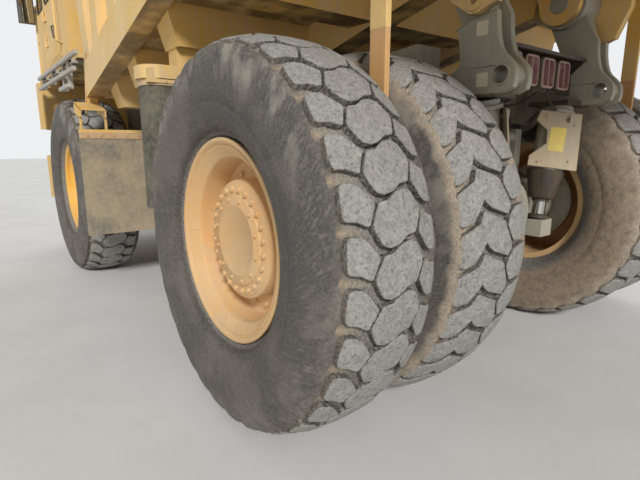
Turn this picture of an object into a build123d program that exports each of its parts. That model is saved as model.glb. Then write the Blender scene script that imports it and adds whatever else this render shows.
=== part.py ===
from build123d import *
import os
from math import atan2, cos, degrees, hypot, pi, sin

# Rigid quarry dump truck, millimetres. X runs forward, Y to the left, Z up from the ground.
# The origin is on the ground under the middle of the box round the whole truck.
# In tables and calls, u is the distance ahead of the rear axle, y the distance from the middle.

# Overall sizes
LENGTH = 9355
FRONT_END = 6265
WHEELBASE = 4300
HEIGHT = 4400
MIRROR_WIDTH = 4595
REAR_OVERHANG = LENGTH - FRONT_END
REAR_X = REAR_OVERHANG - LENGTH / 2

# Clearances
SEAT_GAP = 0.3
RUN_GAP = 5
PIN_GAP = 0.3

# Tyres: a ring of lugs with slanting grooves between them
TYRE_R = 1060
TYRE_PITCHES = 32
TYRE_HALF_W = 327.5
BULGE_R = 800
TREAD_HALF_W = 300
TREAD_EDGE_R = 1005
CROWN_HALF_W = 150
CROWN_SLANT = 0.2
GROOVE_W = 48
BEAD_HALF_W = 190
REAR_TRACK = 3086
DUAL_SPACING = 760
FRONT_TRACK = 3740

# Rims and hubs
RIM_HALF_W = 212
RIM_LIP_R = 560
RIM_LIP_T = 22
RIM_R = 535
GUTTER_R = 485
DISC_R = 445
HUB_R = 335
HUB_FACE_R = 300
HUB_FACE_IN = 85
REAR_DISC_IN = 230
REAR_DISC_T = 405
FRONT_DISC_IN = 120
FRONT_DISC_T = 80

# Frame rails
RAIL_IN = 500
RAIL_OUT = 740
RAIL_BOTTOM = 980
RAIL_TOP = 1420
FRAME_REAR = -100
BUMPER_DEPTH = 285
FRAME_FRONT = FRONT_END - BUMPER_DEPTH

# Dump body
BODY_HALF_IN = 1935
PLATE_T = 30
BODY_HALF_W = 2100
SIDE_RAIL_H = 320
FLOOR_SLOPE = 0.2345
TAIL_SLOPE = 0.105
BODY_Z0 = 2770
KINK_U = -1000
FLOOR_UP = 60
BODY_FRONT = 3070
WALL_BOTTOM = 2050
WALL_TOP_U = 3500
WALL_TOP = 4120
TOP_RAIL_Z = 3760
TOP_RAIL_H = 150
TOP_RAIL_W = 120
RIB_W = 220
RIB_T = 95
BOLSTER_W = 270
BOLSTER_DROP = 200
BOLSTER_HALF = 1870
PIVOT_U = -420
PIVOT_Z = 2600
PIVOT_R = 70
LUG_R = 150
LUG_T = 50

# Rear bracket castings
BRACKET_T = 45
TOW_U = -720
TOW_Z = 1970
TOW_R = 50
TOW_BOSS_R = 130
TOW_BOSS_UP = 15
STRUT_TOP = 1870

# Hoists
HOIST_Y = 370
HOIST_BASE = (1420, 1180)
HOIST_TOP = (1860, 2130)
BARREL_R = 105
STAGE_R = 86
ROD_R = 62
HOIST_EYE_R = 60
HOIST_PIN_R = 32
HOIST_LUG_Y = 54
HOIST_LUG_T = 28

# Front suspension
KINGPIN_Y = 1250
KNUCKLE_R = 140
KNUCKLE_BOTTOM = 700
KNUCKLE_TOP = 1350
STEER_ARM = 350
TOWER_Z = 2260

# Deck and cab
DECK_REAR = 3300
DECK_FRONT = FRAME_FRONT
DECK_Z = 2520
DECK_T = 50
DECK_HALF_W = 2100
CAB_REAR = 3600
CAB_FRONT = 5500
CAB_ROOF_FRONT = 5250
CAB_IN = 750
CAB_OUT = 2120
CAB_WAIST = 3150
CAB_ROOF = 4020
CAB_WALL = 50
GLASS_T = 10
DOOR_REAR = 3950
DOOR_FRONT = 4850
DOOR_SILL = 2575
DOOR_HEAD = 3945

AXLE_Z = TYRE_R
PLAN = (1, 0, 0)


def at(u):
    """X of a place that lies u ahead of the rear axle."""
    return REAR_X + u


def block(u0, u1, y0, y1, z0, z1):
    """A plain block between two corners."""
    centre = Pos(at((u0 + u1) / 2), (y0 + y1) / 2, (z0 + z1) / 2)
    return centre * Box(u1 - u0, y1 - y0, z1 - z0)


def side_plate(outline, y0, y1):
    """A side outline of (u, z) points, thickened from y0 to y1."""
    plane = Plane(origin=(0, y1, 0), x_dir=PLAN, z_dir=(0, -1, 0))
    face = plane * Polygon(*[(at(u), z) for u, z in outline], align=None)
    return extrude(face, amount=y1 - y0, dir=(0, -1, 0))


def cross_plate(outline, u0, u1):
    """A rear-view outline of (y, z) points, thickened from u0 to u1."""
    plane = Plane(origin=(at(u0), 0, 0), x_dir=(0, 1, 0), z_dir=(1, 0, 0))
    face = plane * Polygon(*outline, align=None)
    return extrude(face, amount=u1 - u0, dir=(1, 0, 0))


def plan_plate(outline, z0, z1):
    """A plan outline of (u, y) points, thickened from z0 to z1."""
    face = Pos(0, 0, z0) * Polygon(*[(at(u), y) for u, y in outline], align=None)
    return extrude(face, amount=z1 - z0, dir=(0, 0, 1))


def bar(start, end, radius):
    """A round bar between two (u, y, z) points."""
    first = Vector(at(start[0]), start[1], start[2])
    last = Vector(at(end[0]), end[1], end[2])
    plane = Plane(origin=first, z_dir=last - first)
    low = (Align.CENTER, Align.CENTER, Align.MIN)
    return plane * Cylinder(radius, (last - first).length, align=low)


def across(u, z, y0, y1, radius):
    """A round bar along Y."""
    return bar((u, y0, z), (u, y1, z), radius)


def turned(profile):
    """A profile of (y, r) points turned about the Y axis."""
    return revolve(Plane.YZ * Polygon(*profile, align=None), axis=Axis.Y)


def other_side(shape):
    """The same shape on the other side of the truck."""
    return mirror(shape, about=Plane.XZ)


def both(shape):
    """A shape and its mirror image."""
    return [shape, other_side(shape)]


def joined(shapes):
    """All shapes fused into one."""
    shapes = list(shapes)
    return shapes[0].fuse(*shapes[1:]) if len(shapes) > 1 else shapes[0]


def save(name, *shapes):
    """Write one sub-part, which may be several solids, to its STEP file."""
    solids = [solid for shape in shapes for solid in shape.solids()]
    export_step(Compound(solids), f"parts/{name}.step")


def body_bottom(u):
    """Height of the dump body's lower edge."""
    if u >= KINK_U:
        return BODY_Z0 - FLOOR_SLOPE * u
    return BODY_Z0 - FLOOR_SLOPE * KINK_U + TAIL_SLOPE * (KINK_U - u)


def floor_line(raise_by, u0=-REAR_OVERHANG, u1=BODY_FRONT):
    """Points along the floor from tail to front, raised from the lower edge."""
    ends = [u0, KINK_U, u1] if u0 < KINK_U else [u0, u1]
    return [(u, body_bottom(u) + raise_by) for u in ends]


def wall_u(z):
    """Front face of the dump body's front wall at a height."""
    return BODY_FRONT + (WALL_TOP_U - BODY_FRONT) * (z - WALL_BOTTOM) / (WALL_TOP - WALL_BOTTOM)


def ring_point(y, radius, turns):
    """A point on a ring about the Y axis, turned from the bottom by a number of pitches."""
    angle = 2 * pi * turns / TYRE_PITCHES
    return Vector(radius * sin(angle), y, -radius * cos(angle))


def facets(*corners):
    """A fan of triangles over corners that need not lie in one plane."""
    fans = zip(corners[1:], corners[2:])
    return [Face(Wire.make_polygon([corners[0], a, b], close=True)) for a, b in fans]


def tyre():
    """A tyre at the origin, its axle along Y: lugs and grooves on flat-sided walls."""
    half_lug = 0.5 - GROOVE_W * TYRE_PITCHES / (4 * pi * TYRE_R)
    flat = cos(pi / TYRE_PITCHES)
    bore_r = (RIM_R + SEAT_GAP) / flat
    corner_r = TYRE_R / cos(2 * pi * (half_lug - CROWN_SLANT) / TYRE_PITCHES)
    # y, radius of the lug's corners, how far the lug leads its middle, in pitches
    stations = [
        (-TREAD_HALF_W, TREAD_EDGE_R, -0.5),
        (-CROWN_HALF_W, corner_r, -CROWN_SLANT),
        (CROWN_HALF_W, corner_r, CROWN_SLANT),
        (TREAD_HALF_W, TREAD_EDGE_R, 0.5),
    ]
    faces = []
    for pitch in range(TYRE_PITCHES):
        rear = [ring_point(y, r, pitch + lead - half_lug) for y, r, lead in stations]
        ahead = [ring_point(y, r, pitch + lead + half_lug) for y, r, lead in stations]
        after = [ring_point(y, r, pitch + 1 + lead - half_lug) for y, r, lead in stations]
        for low in range(len(stations) - 1):
            faces += facets(rear[low], ahead[low], ahead[low + 1], rear[low + 1])
        faces += facets(*rear)
        faces += facets(*ahead)
        faces += facets(ahead[0], after[0], after[-1], ahead[-1])
        for side, lug_end in ((-1, 0), (1, -1)):
            start = pitch + (side - 1) / 2
            bulge = [ring_point(side * TYRE_HALF_W, BULGE_R / flat, start + n) for n in (0, 1)]
            bead = [ring_point(side * BEAD_HALF_W, bore_r, start + n) for n in (0, 1)]
            faces += facets(rear[lug_end], ahead[lug_end], bulge[1], bulge[0])
            faces += facets(ahead[lug_end], after[lug_end], bulge[1])
            faces += facets(bulge[0], bulge[1], bead[1], bead[0])
        across_bore = [(-BEAD_HALF_W, 0), (-BEAD_HALF_W, 1), (BEAD_HALF_W, 1), (BEAD_HALF_W, 0)]
        faces += facets(*[ring_point(y, bore_r, pitch + n) for y, n in across_bore])
    return Solid(Shell(faces))


def rear_tyre_places():
    """Middle of the inner and outer rear tyre."""
    return (REAR_TRACK - DUAL_SPACING) / 2, (REAR_TRACK + DUAL_SPACING) / 2


def make_tyres():
    """Front tyres one to a node, rear tyres as pairs."""
    ring = tyre()
    front = Pos(at(WHEELBASE), FRONT_TRACK / 2, AXLE_Z) * ring
    pair = [Pos(at(0), y, AXLE_Z) * ring for y in rear_tyre_places()]
    save("tyre_front_left", front)
    save("tyre_front_right", other_side(front))
    save("tyres_rear_left", *pair)
    save("tyres_rear_right", *[other_side(piece) for piece in pair])


def wheel(inner_y, outer_y, disc_in, disc_t):
    """A rim, disc and hub on the left; inner_y and outer_y are the rim's two edges."""
    web_y = outer_y - disc_in - disc_t
    profile = [
        (inner_y, GUTTER_R),
        (inner_y, RIM_LIP_R),
        (inner_y + RIM_LIP_T, RIM_R),
        (outer_y - RIM_LIP_T, RIM_R),
        (outer_y, RIM_LIP_R),
        (outer_y, GUTTER_R),
        (outer_y - disc_in, DISC_R),
        (outer_y - disc_in, HUB_R),
        (outer_y - HUB_FACE_IN - 20, HUB_R),
        (outer_y - HUB_FACE_IN, HUB_FACE_R),
        (outer_y - HUB_FACE_IN, 0),
        (web_y, 0),
        (web_y, GUTTER_R),
    ]
    return turned(profile)


def rear_rim_edges():
    """Inner and outer edge of the twin rims."""
    inner, outer = rear_tyre_places()
    return inner - RIM_HALF_W, outer + RIM_HALF_W


def make_wheels():
    """Front rims and twin rear rims with their hubs."""
    front_y = FRONT_TRACK / 2
    front = wheel(front_y - RIM_HALF_W, front_y + RIM_HALF_W, FRONT_DISC_IN, FRONT_DISC_T)
    rear = wheel(*rear_rim_edges(), REAR_DISC_IN, REAR_DISC_T)
    for name, u, shape in [("wheel_front", WHEELBASE, front), ("wheel_rear", 0, rear)]:
        placed = Pos(at(u), 0, AXLE_Z) * shape
        save(name + "_left", placed)
        save(name + "_right", other_side(placed))


def rear_web_y():
    """Inner face of the rear wheel's web, where the axle ends."""
    return rear_rim_edges()[1] - REAR_DISC_IN - REAR_DISC_T


def front_web_y():
    """Inner face of the front wheel's web, where the spindle ends."""
    return FRONT_TRACK / 2 + RIM_HALF_W - FRONT_DISC_IN - FRONT_DISC_T


# Rear axle and its links
LOWER_LINK = (560, 900)
UPPER_LINK = (250, 1560)
LINK_R = 45
LOWER_LINK_U = (330, 1750)
UPPER_LINK_U = (60, 1150)
SHAFT_R = 70
NOSE_U = 700
GEARBOX_U = (2700, 3800)
LATERAL_U = -230
LATERAL_Z = 1640
LATERAL_Y = (-240, 420)
LUG_HALF_W = 60
LATERAL_LUG_W = 80
STRUT_LUG_U1 = -180
STRUT_LUG_DROP = 130
NOSE_R = 190
GEARBOX_HALF_W = 330
GEARBOX_Z = (880, 1500)
SPINDLE_R = 160
# Half of the axle housing: distance from the middle, radius
HOUSING = [(150, 430), (480, 235), (1150, 205), (1150, 330), (1230, 330), (1230, SPINDLE_R)]
STRUT_U = -450
STRUT_FOOT_Y = 350
STRUT_HEAD_Y = 505
STRUT_FOOT_Z = 1010
STRUT_ROD_R = 70
STRUT_BAND_R = 125
STRUT_R = 150
STRUT_BAND_Z = (1220, 1420)


def make_rear_axle():
    """Banjo housing, spindles, link lugs and the nose that takes the shaft."""
    spindle_y = rear_web_y() - SEAT_GAP
    half = HOUSING + [(spindle_y, SPINDLE_R)]
    profile = [(-spindle_y, 0)] + [(-y, r) for y, r in reversed(half)] + half + [(spindle_y, 0)]
    housing = Pos(REAR_X, 0, AXLE_Z) * turned(profile)
    nose = bar((NOSE_U - 400, 0, AXLE_Z), (NOSE_U, 0, AXLE_Z), NOSE_R)
    lower_y, lower_z = LOWER_LINK
    upper_y, upper_z = UPPER_LINK
    w = LUG_HALF_W
    lower_lug = block(100, LOWER_LINK_U[0], lower_y - w, lower_y + w, lower_z - 80, lower_z + 80)
    upper_lug = block(-w, UPPER_LINK_U[0], upper_y - w, upper_y + w, AXLE_Z + 240, upper_z + w)
    lug_z = STRUT_FOOT_Z - STRUT_LUG_DROP
    strut_lug = block(
        STRUT_U - LATERAL_LUG_W,
        STRUT_LUG_U1,
        STRUT_FOOT_Y - LATERAL_LUG_W,
        STRUT_FOOT_Y + LATERAL_LUG_W,
        lug_z,
        STRUT_FOOT_Z,
    )
    lateral_lug = block(
        LATERAL_U - 50,
        LATERAL_U + 50,
        LATERAL_Y[0] - LATERAL_LUG_W,
        LATERAL_Y[0],
        AXLE_Z + 140,
        LATERAL_Z + w,
    )
    lugs = both(lower_lug) + both(upper_lug) + both(strut_lug) + [lateral_lug]
    save("rear_axle", joined([housing, nose] + lugs))


def make_rear_links():
    """Two lower links, two upper links and the lateral rod."""
    lower_y, lower_z = LOWER_LINK
    upper_y, upper_z = UPPER_LINK
    lower = bar((LOWER_LINK_U[0], lower_y, lower_z), (LOWER_LINK_U[1], lower_y, lower_z), LINK_R)
    upper = bar((UPPER_LINK_U[0], upper_y, upper_z), (UPPER_LINK_U[1], upper_y, upper_z), LINK_R)
    lateral = across(LATERAL_U, LATERAL_Z, LATERAL_Y[0], LATERAL_Y[1], LINK_R)
    save("rear_links", *both(lower), *both(upper), lateral)


STRUT_SLOPE = (STRUT_HEAD_Y - STRUT_FOOT_Y) / (STRUT_TOP - STRUT_FOOT_Z)


def strut_y(z):
    """Distance from the middle of the leaning strut's axis at a height."""
    return STRUT_FOOT_Y + STRUT_SLOPE * (z - STRUT_FOOT_Z)


def strut_part(radius, z0, z1):
    """A length of the leaning rear strut with level ends at two heights."""
    low, high = z0 - radius, z1 + radius
    long_bar = bar((STRUT_U, strut_y(low), low), (STRUT_U, strut_y(high), high), radius)
    slab = block(STRUT_U - 2 * radius, STRUT_U + 2 * radius, 0, 2 * STRUT_HEAD_Y, z0, z1)
    return long_bar & slab


def make_rear_struts():
    """Suspension struts: bare rods below, cylinders with their bands above."""
    rod = strut_part(STRUT_ROD_R, STRUT_FOOT_Z, STRUT_BAND_Z[0])
    band = strut_part(STRUT_BAND_R, *STRUT_BAND_Z)
    cylinder = strut_part(STRUT_R, STRUT_BAND_Z[1], STRUT_TOP)
    save("rear_strut_rods", *both(rod))
    save("rear_struts", *both(joined([band, cylinder])))


def make_drive_line():
    """Gearbox block and the shaft to the rear axle."""
    shaft = bar((NOSE_U, 0, AXLE_Z), (GEARBOX_U[0], 0, AXLE_Z), SHAFT_R)
    gearbox = block(*GEARBOX_U, -GEARBOX_HALF_W, GEARBOX_HALF_W, *GEARBOX_Z)
    save("drive_line", joined([shaft, gearbox]))


# Cross members: u0, u1, z0, z1
CROSS_MEMBERS = [
    (-60, 100, 1820, 2060),
    (1150, 1300, 1480, 1800),
    (2420, 2620, 1350, 1700),
    (3900, 4000, 1000, 1300),
    (FRAME_FRONT - 160, FRAME_FRONT, 1000, 1380),
]


# The rail's top edge under the body pads runs between these two (u, z) points
RAIL_CREST_REAR = (500, 2180)
RAIL_CREST_FRONT = (2500, 1850)


def rail_top(u):
    """Height of the rail's top edge under the body pads."""
    (u0, z0), (u1, z1) = RAIL_CREST_REAR, RAIL_CREST_FRONT
    return z0 + (z1 - z0) * (u - u0) / (u1 - u0)


def rail_outline():
    """Side outline of a frame rail, kicked up over the rear axle."""
    return [
        (FRAME_REAR, 1750),
        (750, 1700),
        (1300, 1330),
        (1750, 1080),
        (3300, RAIL_BOTTOM),
        (FRAME_FRONT, RAIL_BOTTOM),
        (FRAME_FRONT, RAIL_TOP),
        (3400, RAIL_TOP),
        (2850, 1720),
        RAIL_CREST_FRONT,
        RAIL_CREST_REAR,
        (FRAME_REAR, 2230),
    ]


TRUNNION_HALF_W = 55
TRUNNION_RIM = 20
TRUNNION_BOSS = 23
FOOT_HALF_W = 80
FOOT_RISE = 320


def hoist_foot():
    """Block on the rail's inner face with the trunnion pin of the left hoist."""
    u, z = HOIST_BASE
    inner = HOIST_Y + TRUNNION_HALF_W + RUN_GAP
    near = HOIST_Y - TRUNNION_HALF_W - RUN_GAP
    foot_y = HOIST_Y + BARREL_R + RUN_GAP
    foot = block(u - FOOT_HALF_W, u + FOOT_HALF_W, foot_y, RAIL_IN, z - FOOT_HALF_W, z + FOOT_RISE)
    boss = across(u, z, inner, RAIL_IN - RUN_GAP, HOIST_PIN_R + TRUNNION_BOSS)
    pin = across(u, z, near - 5, inner, HOIST_PIN_R)
    cap = across(u, z, near - 15, near, HOIST_PIN_R + TRUNNION_RIM)
    return joined([foot, boss, pin, cap])


TOWER_HALF_U = 150
TOWER_ARM_H = 140
LINK_HANGER_U = 140
LINK_HANGER_Z = 1100
LATERAL_POST_TOP = 1900


def make_frame():
    """Two rails, their cross members, strut towers and link hangers."""
    rail = side_plate(rail_outline(), RAIL_IN, RAIL_OUT)
    lower_y, lower_z = LOWER_LINK
    link_end = LOWER_LINK_U[1]
    hanger = block(link_end, link_end + LINK_HANGER_U, RAIL_IN, lower_y + 80, lower_z - 80, LINK_HANGER_Z)
    u0, u1 = WHEELBASE - TOWER_HALF_U, WHEELBASE + TOWER_HALF_U
    top = TOWER_Z + TOWER_ARM_H
    post = block(u0, u1, RAIL_IN + 60, RAIL_OUT, RAIL_TOP - 100, top)
    arm = block(u0, u1, RAIL_OUT - 10, KINGPIN_Y + TOWER_ARM_H, TOWER_Z, top)
    lateral_u0, lateral_u1 = LATERAL_U - 60, CROSS_MEMBERS[0][0]
    lateral = block(lateral_u0, lateral_u1, LATERAL_Y[1], RAIL_IN, LATERAL_Z - 70, LATERAL_POST_TOP)
    pieces = both(rail) + both(hanger) + both(post) + both(arm) + [lateral]
    for u0, u1, z0, z1 in CROSS_MEMBERS:
        pieces.append(block(u0, u1, -RAIL_IN, RAIL_IN, z0, z1))
    pieces += both(hoist_foot())
    save("frame", joined(pieces))


# Rear brackets: the edge from the frame up over the pin's boss and down to the tow hole
BRACKET_FRONT = [(FRAME_REAR, 1750), (FRAME_REAR, 2060), (-250, 2030), (-350, 2130), (-365, 2300)]
BRACKET_REAR = [(-630, 2350), (-660, 2140)]
HORN_HALF_W = 60
TOW_CORNER = (40, 110)
TOW_BACK = 120
WEB_U = -560
WEB_H = 140
STRUT_SEAT_T = 30


def bracket_outline():
    """Side outline of the grey castings behind the frame."""
    horn = [
        (PIVOT_U + LUG_R - 5, PIVOT_Z - HORN_HALF_W),
        (PIVOT_U + HORN_HALF_W, PIVOT_Z + HORN_HALF_W),
        (PIVOT_U - HORN_HALF_W, PIVOT_Z + HORN_HALF_W),
        (PIVOT_U - LUG_R + 5, PIVOT_Z - HORN_HALF_W),
    ]
    back, up = TOW_CORNER
    tail = [(TOW_U - back, TOW_Z + up), (TOW_U - TOW_BACK, TOW_Z), (TOW_U - TOW_BACK / 2, STRUT_TOP)]
    return BRACKET_FRONT + horn + BRACKET_REAR + tail + [(-300, STRUT_TOP)]


def make_rear_brackets():
    """Twin-plate castings that carry the body pivots, struts and tow pins."""
    inner_y1 = RAIL_IN + BRACKET_T
    outer_y0 = RAIL_OUT - BRACKET_T
    inner = side_plate(bracket_outline(), RAIL_IN, inner_y1)
    outer = side_plate(bracket_outline(), outer_y0, RAIL_OUT)
    web = block(WEB_U, FRAME_REAR, RAIL_IN, RAIL_OUT, STRUT_TOP, STRUT_TOP + WEB_H)
    seat_u = (STRUT_U - STRUT_R, STRUT_U + STRUT_R)
    seat = block(*seat_u, STRUT_HEAD_Y - STRUT_R, RAIL_OUT, STRUT_TOP, STRUT_TOP + STRUT_SEAT_T)
    boss = across(PIVOT_U, PIVOT_Z, RAIL_IN - RUN_GAP, RAIL_OUT + RUN_GAP, LUG_R)
    tow_in = across(TOW_U, TOW_Z, RAIL_IN - TOW_BOSS_UP, inner_y1, TOW_BOSS_R)
    tow_out = across(TOW_U, TOW_Z, outer_y0, RAIL_OUT + TOW_BOSS_UP, TOW_BOSS_R)
    tow_hole = across(TOW_U, TOW_Z, RAIL_IN - 50, RAIL_OUT + 50, TOW_R)
    pin_end = RAIL_IN - 2 * RUN_GAP - LUG_T + 15
    pin = across(PIVOT_U, PIVOT_Z, pin_end, RAIL_IN + RAIL_OUT - pin_end, PIVOT_R)
    casting = joined([inner, outer, web, seat, boss, tow_in, tow_out, pin]) - tow_hole
    save("rear_brackets", *both(casting))


# Lamp bar between the brackets
LAMP_BAR_U = (-515, -495)
LAMP_Z = (2010, 2230)
LAMP_CENTRES = (-330, -110, 110, 330)
LAMP_W = 175
LAMP_DEPTH = 50
LAMP_ROOF_U = -610
LAMP_MARGIN = 20
LAMP_ROOF_T = 15


def make_lamp_bar():
    """Back plate and roof plate that hold the tail lamps."""
    half_w = RAIL_IN
    low, high = LAMP_Z[0] - LAMP_MARGIN, LAMP_Z[1] + LAMP_MARGIN
    back = block(*LAMP_BAR_U, -half_w, half_w, low, high)
    roof = block(LAMP_ROOF_U, LAMP_BAR_U[1], -half_w, half_w, high, high + LAMP_ROOF_T)
    save("lamp_bar", joined([back, roof]))
    u0, u1 = LAMP_BAR_U[0] - LAMP_DEPTH, LAMP_BAR_U[0]
    lamps = [block(u0, u1, y - LAMP_W / 2, y + LAMP_W / 2, *LAMP_Z) for y in LAMP_CENTRES]
    save("tail_lamps", *lamps)


# Hoist geometry
HOIST_DU = HOIST_TOP[0] - HOIST_BASE[0]
HOIST_DZ = HOIST_TOP[1] - HOIST_BASE[1]
HOIST_LENGTH = hypot(HOIST_DU, HOIST_DZ)
HOIST_LEAN = degrees(atan2(HOIST_DU, HOIST_DZ))
BARREL_START = 80
BARREL_END = HOIST_LENGTH - 120
BARREL_FLOOR = 20
STAGE_OUT = 25
ROD_OUT = 45
NECK_R = 50


def on_hoist(shape):
    """Place a shape made upright at the origin on the left hoist's base pin."""
    return Pos(at(HOIST_BASE[0]), HOIST_Y, HOIST_BASE[1]) * Rot(0, HOIST_LEAN, 0) * shape


def upright(radius, z0, z1):
    """An upright cylinder between two heights."""
    return Pos(0, 0, (z0 + z1) / 2) * Cylinder(radius, z1 - z0)


def eye(z, width, outer, bore):
    """An eye with its bore along Y, at a height."""
    ring = Pos(0, 0, z) * Rot(90, 0, 0) * Cylinder(outer, width)
    hole = Pos(0, 0, z) * Rot(90, 0, 0) * Cylinder(bore, width + 2)
    return ring, hole


def make_hoists():
    """Barrel, stage and rod of the two-stage hoist on each side."""
    ring, hole = eye(0, 2 * TRUNNION_HALF_W, HOIST_EYE_R + 15, HOIST_PIN_R + PIN_GAP)
    stage_start = BARREL_START + BARREL_FLOOR
    stage_end = BARREL_END + STAGE_OUT
    rod_start = stage_start + BARREL_FLOOR
    rod_end = BARREL_END + ROD_OUT
    barrel = upright(BARREL_R, BARREL_START, BARREL_END) - upright(STAGE_R + 1, stage_start, BARREL_END)
    barrel = ring + upright(NECK_R, 0, BARREL_START + 10) + barrel - hole
    stage = upright(STAGE_R, stage_start + 1, stage_end) - upright(ROD_R + 1, rod_start, stage_end)
    top_ring = eye(HOIST_LENGTH, 2 * (HOIST_LUG_Y - SEAT_GAP), HOIST_EYE_R, HOIST_PIN_R)[0]
    rod = upright(ROD_R, rod_start + 1, rod_end) + upright(NECK_R - 5, BARREL_END, HOIST_LENGTH - 20)
    rod = rod + top_ring
    for name, shape in [("hoist_barrel", barrel), ("hoist_stage", stage), ("hoist_rod", rod)]:
        placed = on_hoist(shape)
        save(name + "_left", placed)
        save(name + "_right", other_side(placed))


# Bolsters under the dump body: centre u, drop below the lower edge
BOLSTERS = [
    (2690, BOLSTER_DROP),
    (2080, BOLSTER_DROP),
    (1270, BOLSTER_DROP),
    (480, BOLSTER_DROP),
    (-0.405 * REAR_OVERHANG, 150),
    (-0.647 * REAR_OVERHANG, 120),
    (-0.89 * REAR_OVERHANG, 90),
]


SHOULDER_U = 2550
SHOULDER_BACK = 350
TAIL_RAIL_U = 140 - REAR_OVERHANG
RIB_FOOT = 150
POST_W = (250, 240)
POST_OUT = 15
WALL_T = 60


def body_side_outline():
    """Side outline of the dump body, with its shoulder up to the canopy."""
    return floor_line(0) + [
        (WALL_TOP_U, WALL_TOP),
        (WALL_TOP_U - SHOULDER_BACK, WALL_TOP),
        (SHOULDER_U, TOP_RAIL_Z),
        (TAIL_RAIL_U, TOP_RAIL_Z),
    ]


def make_body_tub():
    """Floor, sides with their rails and ribs, and the leaning front wall."""
    skin_y = BODY_HALF_IN + PLATE_T
    side = side_plate(body_side_outline(), BODY_HALF_IN, skin_y)
    low_rail = side_plate(floor_line(0) + floor_line(SIDE_RAIL_H)[::-1], skin_y, BODY_HALF_W)
    top_rail = side_plate(
        [
            (TAIL_RAIL_U, TOP_RAIL_Z),
            (SHOULDER_U, TOP_RAIL_Z),
            (WALL_TOP_U - SHOULDER_BACK, WALL_TOP),
            (WALL_TOP_U, WALL_TOP),
            (WALL_TOP_U - 30, WALL_TOP - TOP_RAIL_H),
            (WALL_TOP_U - SHOULDER_BACK + 30, WALL_TOP - TOP_RAIL_H),
            (SHOULDER_U + 30, TOP_RAIL_Z - TOP_RAIL_H),
            (TAIL_RAIL_U - 30, TOP_RAIL_Z - TOP_RAIL_H),
        ],
        skin_y,
        skin_y + TOP_RAIL_W,
    )
    ribs = []
    for u, drop in BOLSTERS:
        foot = body_bottom(u) + RIB_FOOT
        ribs.append(block(u - RIB_W / 2, u + RIB_W / 2, skin_y, skin_y + RIB_T, foot, TOP_RAIL_Z - 20))
    post_foot = body_bottom(BODY_FRONT) + FLOOR_UP
    post_top = WALL_TOP - 40
    post = side_plate(
        [
            (BODY_FRONT - 10, post_foot),
            (wall_u(post_top), post_top),
            (wall_u(post_top) - POST_W[1], post_top),
            (BODY_FRONT - POST_W[0], post_foot),
        ],
        skin_y,
        skin_y + RIB_T + POST_OUT,
    )
    half = [side, low_rail, top_rail, post] + ribs
    floor_outline = floor_line(FLOOR_UP) + floor_line(FLOOR_UP + PLATE_T)[::-1]
    floor = side_plate(floor_outline, -BODY_HALF_IN, BODY_HALF_IN)
    wall = side_plate(
        [
            (BODY_FRONT, body_bottom(BODY_FRONT)),
            (WALL_TOP_U, WALL_TOP),
            (WALL_TOP_U - WALL_T, WALL_TOP),
            (BODY_FRONT - WALL_T, body_bottom(BODY_FRONT)),
        ],
        -BODY_HALF_IN,
        BODY_HALF_IN,
    )
    save("body_tub", joined(half + [other_side(piece) for piece in half] + [floor, wall]))


CANOPY_T = 30
CANOPY_EDGE_H = 110
CANOPY_REAR = WALL_TOP_U - 60
CANOPY_FRONT = 6060
CANOPY_BEAM_W = 100
CANOPY_BEAMS_Y = (-BODY_HALF_W, -700, 600, BODY_HALF_W - CANOPY_BEAM_W)


def make_canopy():
    """The canopy over cab and deck, with edge beams and ribs beneath."""
    top_rear = WALL_TOP + CANOPY_EDGE_H + CANOPY_T
    outline = [
        (CANOPY_REAR, top_rear),
        (CANOPY_FRONT, HEIGHT),
        (CANOPY_FRONT, HEIGHT - CANOPY_T),
        (CANOPY_REAR, top_rear - CANOPY_T),
    ]
    beam = [
        (CANOPY_REAR, top_rear - CANOPY_T),
        (CANOPY_FRONT, HEIGHT - CANOPY_T),
        (CANOPY_FRONT, HEIGHT - CANOPY_T - CANOPY_EDGE_H),
        (CANOPY_REAR, WALL_TOP),
    ]
    plate = side_plate(outline, -BODY_HALF_W, BODY_HALF_W)
    pieces = [plate]
    for y in CANOPY_BEAMS_Y:
        pieces.append(side_plate(beam, y, y + CANOPY_BEAM_W))
    save("body_canopy", joined(pieces))


LUG_PLATES = (RAIL_IN - RUN_GAP * 2 - LUG_T, RAIL_OUT + RUN_GAP * 2)
SILL_LOW = 250
SILL_UP = 200
SILL_FRONT = 2850
SILL_REAR = 190 - REAR_OVERHANG
SILL_TAIL_DROP = 60
SILL_KINK_DROP = 120
SILL_OVER_PIVOT = PIVOT_Z + LUG_R + 20
LUG_TOP = PIVOT_Z + 420
TIE_HALF_U = 160
HOIST_LUG_H = 300
HOIST_LUG_HALF = (55, 120)
HOIST_HEAD_T = HOIST_LUG_T + 14


def make_bolster(u, drop):
    """A cross beam under the body, between its sides."""
    side_y = BODY_HALF_IN - SEAT_GAP
    bottom = body_bottom(u)
    half = [(side_y, bottom + SILL_UP), (side_y, bottom + 10), (BOLSTER_HALF, bottom - drop)]
    outline = half + [(-y, z) for y, z in reversed(half)]
    return cross_plate(outline, u - BOLSTER_W / 2, u + BOLSTER_W / 2)


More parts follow.
